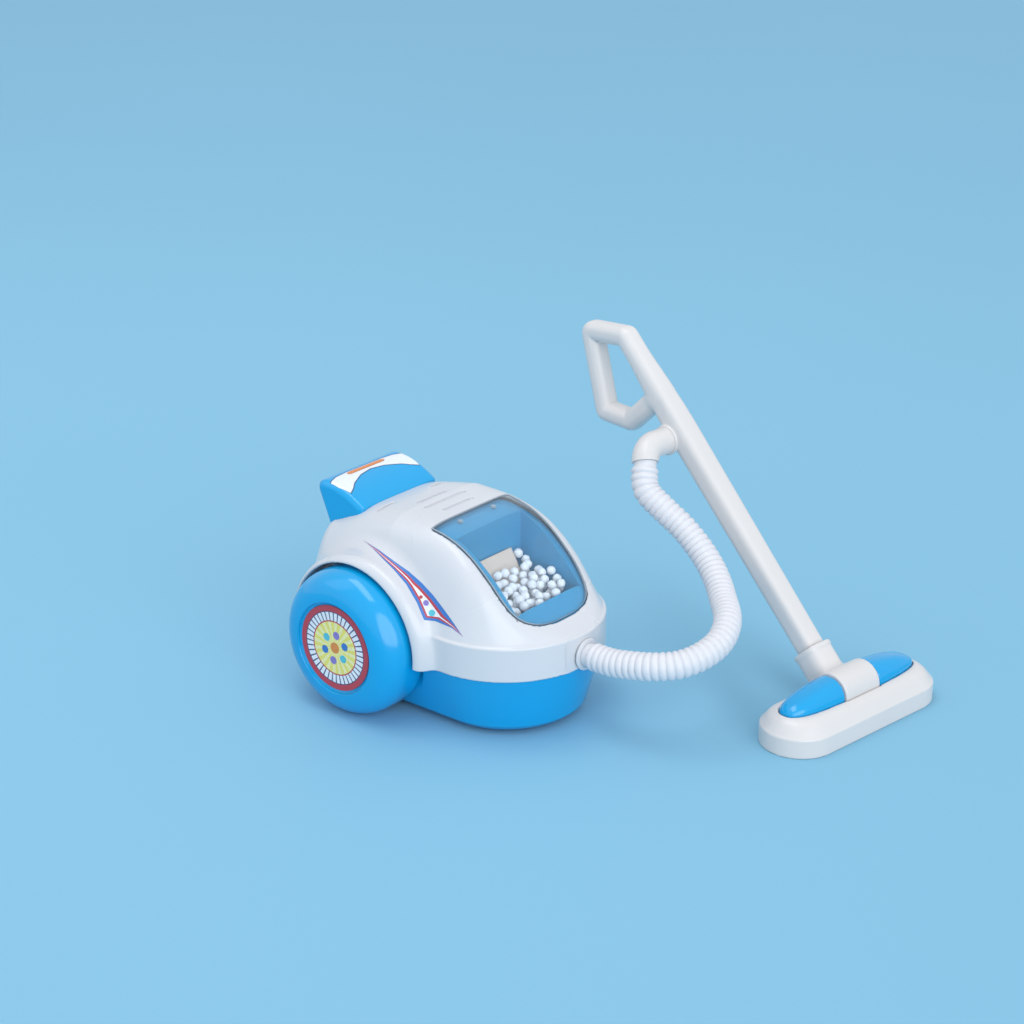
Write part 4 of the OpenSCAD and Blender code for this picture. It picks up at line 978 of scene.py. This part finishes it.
# Outline and dots of the side stripe, in pixels of the camera's picture
PICTURE = 1024
STRIPE_UPPER = [(363, 540), (379, 550), (394, 561), (409, 571.5), (422, 583), (433, 595), (443, 608),
                (453, 622), (463, 637)]
STRIPE_LOWER = [(363, 540), (372, 547.5), (381, 557), (394, 570), (406, 584), (417, 603), (424, 620),
                (435, 621), (452, 628), (463, 637)]
STRIPE_DOTS = [(421, 597, 1.8, "red"), (426, 603, 2.9, "violet"), (432, 613, 3.3, "teal")]
ABOVE_ALL = 130


def seen_at(u, v):
    """Ray of the camera through a pixel of its picture."""
    half = PICTURE / 2
    lean = tan(radians(CAMERA_FOV / 2)) / half
    way = camera.rotation_euler.to_matrix() @ Vector(((u - half) * lean, (half - v) * lean, -1))
    return camera.location.copy(), way.normalized()


def both_sides(*right):
    """An outline's right half and its mirror image."""
    return [*right, *((x, -y) for x, y in reversed(right) if y)]


# Outlines of the hood's label and its bar, in the canister's plan
LABEL_REAR = both_sides((-30, -24.7), (-35.5, -24.7), (-37.6, -19), (-38.3, -12))
LABEL_FRONT = both_sides((-30, -24.7), (-23.4, -23.4), (-25.5, -19.5), (-27.9, -16.3), (-31.6, -8),
                         (-33, 0))
PILL_REAR = both_sides((-36.2, -12.4), (-36.9, -12), (-37.3, -11))
PILL_FRONT = both_sides((-36.2, -12.4), (-35.4, -12), (-35, -11))


def from_above(x, y):
    return canister_frame @ Vector((x, y, ABOVE_ALL)), Vector((0, 0, -1))


def make_stickers():
    casing, hood_skin = (
        BVHTree.FromPolygons([v.co for v in shell.vertices], [p.vertices for p in shell.polygons])
        for shell in (casing_mesh, hood_mesh))
    stripe = [(4.2, 3.2, prints["blue"]), (2.8, 2.2, prints["red"]), (0, 0, prints["white"])]
    label = [(0.5, 0.5, prints["navy"]), (0, 0, prints["white"])]
    pill = [(0.3, 0.3, prints["red"]), (0, 0, prints["orange"])]
    turns = [radians(180 - 180 / DOT_STEPS * k) for k in range(DOT_STEPS + 1)]
    for name, mirrored in (("stripe_right", False), ("stripe_left", True)):
        film(name, STRIPE_UPPER, STRIPE_LOWER, stripe, casing, seen_at, FILM_RISE, mirrored)
        for i, (u, v, r, colour) in enumerate(STRIPE_DOTS):
            upper, lower = ([(u + r * cos(a), v + s * r * sin(a)) for a in turns] for s in (-1, 1))
            film("%s_dot_%d" % (name, i), upper, lower, [(0, 0, prints[colour])], casing, seen_at,
                 2 * FILM_RISE, mirrored, DOT_STEPS)
    film("hood_label", LABEL_REAR, LABEL_FRONT, label, hood_skin, from_above, FILM_RISE)
    film("hood_pill", PILL_REAR, PILL_FRONT, pill, hood_skin, from_above, 2 * FILM_RISE)


make_stickers()


# Hose inlet and elbow
INLET_R, INLET_BACK, INLET_SIDES = 5.4, 79, 64
FLANGE_R, FLANGE_BACK, FLANGE_FACE, FLANGE_ROUND = 6.8, 92.05, 93.5, 0.5


def make_inlet():
    profile = [(HOSE_BORE, INLET_BACK), (INLET_R - 0.1, INLET_BACK), (INLET_R, INLET_BACK + 0.1),
               (INLET_R, FLANGE_BACK), (FLANGE_R, FLANGE_BACK)]
    profile += arc((FLANGE_R, FLANGE_FACE - FLANGE_ROUND), FLANGE_ROUND, 0, 90, 4)
    profile += [(HOSE_BORE + 0.2, FLANGE_FACE), (HOSE_BORE, FLANGE_FACE - 0.2)]
    turn = Matrix.Rotation(radians(-90), 4, "Z")
    matrix = canister_frame @ Matrix.Translation((0, 0, INLET_Z)) @ turn
    mesh = lathe("inlet_ring", profile, shell_white, matrix, INLET_SIDES)
    edged_piece(mesh, 40, "white_plastic", "hose_inlet")


def make_elbow():
    line, end_way = elbow_line()
    points, faces = sweep(np.array([tuple(p) for p in line]), [HOSE_R] * len(line), HOSE_BORE,
                          ELBOW_SIDES, (0, 1, 0), tuple(end_way))
    mesh = mesh_of("elbow_tube", points, faces, wand_white, head_frame)
    edged_piece(mesh, 40, "white_plastic", "hose_elbow")


make_inlet()
make_elbow()


# Wand with its hand loop and boss, in the wand's frame: along it, across it and up from the pivot
LOOP_LINE = np.array([(191.5, 0), (206, 17.3), (172, 36.3), (159.5, 24.5), (159, 0)])
LOOP_BAR, LOOP_W, LOOP_ROUND, LOOP_EDGE = 9.6, 10.8, 1.5, 4.2
WAND_POWER = 3.64
WAND_STATIONS = (WAND_FROM, 140, 150, 160, 170, WAND_TO)
WAND_WIDTHS = (11, 12.2, 12, 11, 9.2, 4.4)
BOSS_RIM_R, BOSS_RIM_W = 7.1, 1.6
SPIGOT_R, SPIGOT_L = 4.1, 4
PLUG_R, PLUG_FROM = 4.6, 10.8


def drawn_in(outline, r):
    """A closed outline moved inwards by r."""
    before = unit_rows(outline - np.roll(outline, 1, axis=0))
    after = np.roll(before, -1, axis=0)
    turn = abs(before[:, 0] * after[:, 1] - before[:, 1] * after[:, 0])
    return outline + r * (after - before) / turn[:, None]


loop_core = drawn_in(LOOP_LINE, LOOP_ROUND)


def wand_field(p):
    w, y, z = p.T
    up = z + WAND_DROP
    half = np.interp(w, WAND_STATIONS, WAND_WIDTHS) / 2
    bar = (power_sum(abs(y) / half, abs(up) / half, WAND_POWER) - 1) * half
    bar = rounded_max(bar, between(w, WAND_FROM, WAND_TO), r=0.4)
    line = outline_field(w, -up, loop_core) - LOOP_ROUND
    loop = rounded_max(abs(line) - LOOP_BAR / 2, abs(y) - LOOP_W / 2, LOOP_EDGE)
    off = np.hypot(w - BOSS_AT, up + BOSS_DROP)
    boss = np.maximum(off - HOSE_R, between(y, 0, BOSS_FACE - 1))
    rim = rounded_max(off - BOSS_RIM_R, between(y, BOSS_FACE - BOSS_RIM_W, BOSS_FACE), r=0.4)
    spigot = np.maximum(off - SPIGOT_R, between(y, BOSS_FACE - 1, BOSS_FACE + SPIGOT_L))
    plug = np.maximum(np.hypot(y, up) - PLUG_R, between(w, PLUG_FROM, WAND_FROM + 2))
    body = joined(joined(joined(bar, loop, r=2.5), boss, r=1.5), rim, r=0.6)
    return np.minimum(np.minimum(body, spigot), plug)


wand_grid = (steps(9.5, 214, 0.8), steps(-8, 12.5, 0.8, (5, 7.5, 0.4)), steps(-52, 2, 0.8))
field_piece("wand_tube", wand_field, wand_grid, wand_white, wand_frame, "white_plastic", "wand")


# Neck: a barrel on the pin and a collar round the wand's foot
BARREL_R, BARREL_HALF = 9.5, 11.4
COLLAR_FROM, COLLAR_TO, COLLAR_R = 6, 22.8, 7.7
COLLAR_POWER = 3
LIP_W, LIP_RISE = 2.4, 0.35
PIN_R = 1.55


def neck_field(p):
    w, y, z = p.T
    up = z + WAND_DROP
    turn = np.hypot(w, z)
    barrel = rounded_max(turn - BARREL_R, abs(y) - BARREL_HALF, r=0.8)
    across = power_sum(abs(y), abs(up), COLLAR_POWER) - COLLAR_R
    collar = np.maximum(across, between(w, COLLAR_FROM, COLLAR_TO))
    lip = rounded_max(across - LIP_RISE, between(w, COLLAR_TO - LIP_W, COLLAR_TO), r=0.7)
    body = joined(joined(barrel, collar, r=2), lip, r=0.5)
    socket = np.maximum(np.hypot(y, up) - PLUG_R - 0.1, PLUG_FROM - 0.5 - w)
    return np.maximum(np.maximum(body, PIN_R - turn), -socket)


neck_grid = (steps(-10.5, 24.5, 0.6), steps(-12.5, 13, 0.6), steps(-17.5, 11, 0.6))
field_piece("neck_barrel", neck_field, neck_grid, wand_white, wand_frame, "white_plastic",
            "neck")


# Floor head in its own frame, with its skirt and shoulder drawn as inset from the outline and height
head_profile = np.array([(0, -20), (0, 8.4), (0.2, 8.9), (0.9, 9.6), (3.2, 12.5), (4.4, 13.7),
                         (5.9, 14.7), (7.2, 15.3), (8.5, 15.6), (60, 15.6), (60, -20)], float)
HEAD_WALL, HEAD_CEILING = 2, 9.2
LENS_HALF, LENS_W, LENS_RISE, LENS_BASE = 42.3, 9, 8.9, 15.4
LENS_FROM, LENS_FLOOR, LENS_GAP = 12, 13.4, 0.4
LENS_POWER = 3
BLOCK_HALF, BLOCK_FROM, BLOCK_END, BLOCK_LOW, BLOCK_RISE = 3.4, 11.7, 18.4, 1.7, 3
BARREL_GAP, SLOT_GAP, SLOT_FLOOR = 0.3, 1.2, 3.2
PIN_HOLE_R, PIN_HALF = 1.52, 16.9


def head_inset(p):
    """Distance in from the head's outline."""
    past = np.maximum(abs(p[:, 1]) - (HEAD_L / 2 - HEAD_END), 0)
    return HEAD_END - np.hypot(p[:, 0], past)


def lens_level(p):
    across = abs(p[:, 0] - PIVOT_X) / LENS_W
    return power_sum(across, abs(p[:, 1]) / LENS_HALF, LENS_POWER) - 1


def pin_blocks(p, margin):
    x, y, z = p.T
    across = np.maximum(abs(x - PIVOT_X) - BLOCK_HALF, between(abs(y), BLOCK_FROM, BLOCK_END))
    return np.maximum(across, between(z, BLOCK_LOW, PIVOT_Z + BLOCK_RISE)) - margin


def head_field(p):
    inset = head_inset(p)
    x, y, z = p[:, 0], abs(p[:, 1]), p[:, 2]
    turn = np.hypot(x - PIVOT_X, z - PIVOT_Z)
    body = rounded_max(outline_field(inset, z, head_profile), -z, r=0.4)
    body = np.maximum(body, -np.maximum(HEAD_WALL - inset, z - HEAD_CEILING))
    body = np.minimum(body, pin_blocks(p, 0))
    well = np.maximum(turn - BARREL_R, y - BARREL_HALF) - BARREL_GAP
    body = cut(body, well, r=0.5)
    slot = np.maximum(np.maximum(PIVOT_X - x, SLOT_FLOOR - z), y - COLLAR_R - SLOT_GAP)
    body = cut(body, slot, r=0.5)
    lens = np.maximum(as_distance(lens_level, p), LENS_FROM - y) - LENS_GAP
    lens = np.maximum(lens, LENS_FLOOR - z)
    body = cut(body, np.maximum(lens, -pin_blocks(p, 0)), r=0.4)
    return np.maximum(body, -np.maximum(turn - PIN_HOLE_R, y - PIN_HALF))


def insert_field(p):
    def level(q):
        return np.hypot(lens_level(q) + 1, np.maximum(q[:, 2] - LENS_BASE, 0) / LENS_RISE) - 1

    body = rounded_max(as_distance(level, p), LENS_FROM - p[:, 1], r=0.7)
    return np.maximum(np.maximum(body, LENS_FLOOR - p[:, 2]), -pin_blocks(p, 0.2))


head_grid = (steps(-18.7, 19.2, 0.7), steps(-51.7, 52.2, 0.7), steps(-0.9, 20, 0.55))
field_piece("head_cover", head_field, head_grid, wand_white, head_frame, "white_plastic",
            "head_shell")
lens_grid = (steps(-9.5, 11, 0.6), steps(11, 43.5, 0.6), steps(12.5, 25.5, 0.6))
half_turn = Matrix.Translation((2 * PIVOT_X, 0, 0)) @ Matrix.Rotation(pi, 4, "Z")
for place, matrix in (("right", head_frame), ("left", head_frame @ half_turn)):
    field_piece("lens_" + place, insert_field, lens_grid, gloss_blue, matrix, "blue_plastic",
                "head_insert_" + place)


# Looks of the nodes that keep their own shape, with soft edges
LOOKS = [
    (gloss_blue, "lower_casing battery_door"), (tray_blue, "dust_tray motor_bracket"),
    (wand_white, "fan_impeller head_sole"), (peg_grey_and_edge_shade, "window_pegs"), (cream_card, "bead_flap"),
    (dark_plastic, "switch_body switch_slider front_roller"), (cell_wrap, "battery_cells"),
    (lead_red, "wiring"), (steel, "motor motor_shaft battery_contacts battery_door_screw rear_axle "
                                  "roller_pin casing_screws neck_pin head_screws")]
# Widths of the soft edges in millimetres
SOFT_EDGES = {"lower_casing": 0.5, "dust_tray": 0.3, "bead_flap": 0.3, "battery_door": 0.2,
              "switch_slider": 0.3, "front_roller": 0.3, "head_sole": 0.2}
SHARP_ANGLE, BEVEL_ANGLE = radians(28), radians(40)
WELD_WITHIN = 1e-6


def soften(obj, width):
    """Shade a node smoothly between its real edges, and round those edges."""
    mesh = obj.data
    mesh.attributes.remove(mesh.attributes["custom_normal"])
    corner = [tuple(round(c / MM, 3) for c in v.co) for v in mesh.vertices]
    sides = {}
    for face in mesh.polygons:
        for a, b in face.edge_keys:
            sides.setdefault(frozenset((corner[a], corner[b])), []).append(face.normal)
    for edge in mesh.edges:
        a, b = edge.vertices
        met = sides[frozenset((corner[a], corner[b]))]
        edge.use_edge_sharp = len(met) != 2 or met[0].angle(met[1], 0) > SHARP_ANGLE
    mesh.polygons.foreach_set("use_smooth", [True] * len(mesh.polygons))
    weld = obj.modifiers.new("weld", "WELD")
    weld.merge_threshold = WELD_WITHIN
    soft = obj.modifiers.new("soft_edges", "BEVEL")
    soft.width = width * MM
    soft.segments = 2
    soft.limit_method = "ANGLE"
    soft.angle_limit = BEVEL_ANGLE
    shading = obj.modifiers.new("shading", "WEIGHTED_NORMAL")
    shading.keep_sharp = True


for material, names in LOOKS:
    for name in names.split():
        obj = nodes[name]
        obj.data.materials.clear()
        obj.data.materials.append(material)
        if name in SOFT_EDGES:
            soften(obj, SOFT_EDGES[name])


# Floor and light
FLOOR_BLUE, FLOOR_HALF = (0.238, 0.505, 0.68), 6
SKY_COLOUR, SKY_STRENGTH = (0.80, 0.88, 0.96), 0.85
FILL_WAY, FILL_STRENGTH, FILL_SPREAD = (-0.85, 0.45, -0.28), 1.7, 60


def make_stage():
    material, tree, shader = new_material("floor_paper")
    tint(tree, noise(tree, scale=2, detail=2), shader, FLOOR_BLUE, 0.99, 1.01)
    set_inputs(shader, {"Roughness": 0.6, "Specular IOR Level": 0.2})
    h = FLOOR_HALF
    corners = [(-h, -h, 0), (h, -h, 0), (h, h, 0), (-h, h, 0)]
    mesh = mesh_of("floor", corners, [(0, 1, 2, 3)], material, smooth=False)
    link("floor", mesh)
    world = bpy.data.worlds.new("studio")
    scene.world = world
    world.use_nodes = True
    set_inputs(world.node_tree.nodes["Background"],
               {"Color": (*SKY_COLOUR, 1), "Strength": SKY_STRENGTH})


def lamp(name, kind, energy, way):
    obj = link(name, bpy.data.lights.new(name, kind))
    obj.data.energy = energy
    obj.rotation_euler = Vector(way).to_track_quat("-Z", "Y").to_euler()
    return obj


def area_light(name, place, aim, size, watts):
    obj = lamp(name, "AREA", watts, Vector(aim) - Vector(place))
    obj.location = place
    obj.data.shape = "RECTANGLE"
    obj.data.size, obj.data.size_y = size


def make_lights():
    fill = lamp("side_fill", "SUN", FILL_STRENGTH, FILL_WAY)
    fill.data.angle = radians(FILL_SPREAD)
    area_light("top_box", place=(-0.15, -0.25, 1.6), aim=(0, 0, 0), size=(1.4, 0.5), watts=6)
    area_light("left_box", place=(-0.75, -0.55, 0.95), aim=(0, 0, 0.05), size=(0.6, 0.9), watts=1)


make_stage()
make_lights()
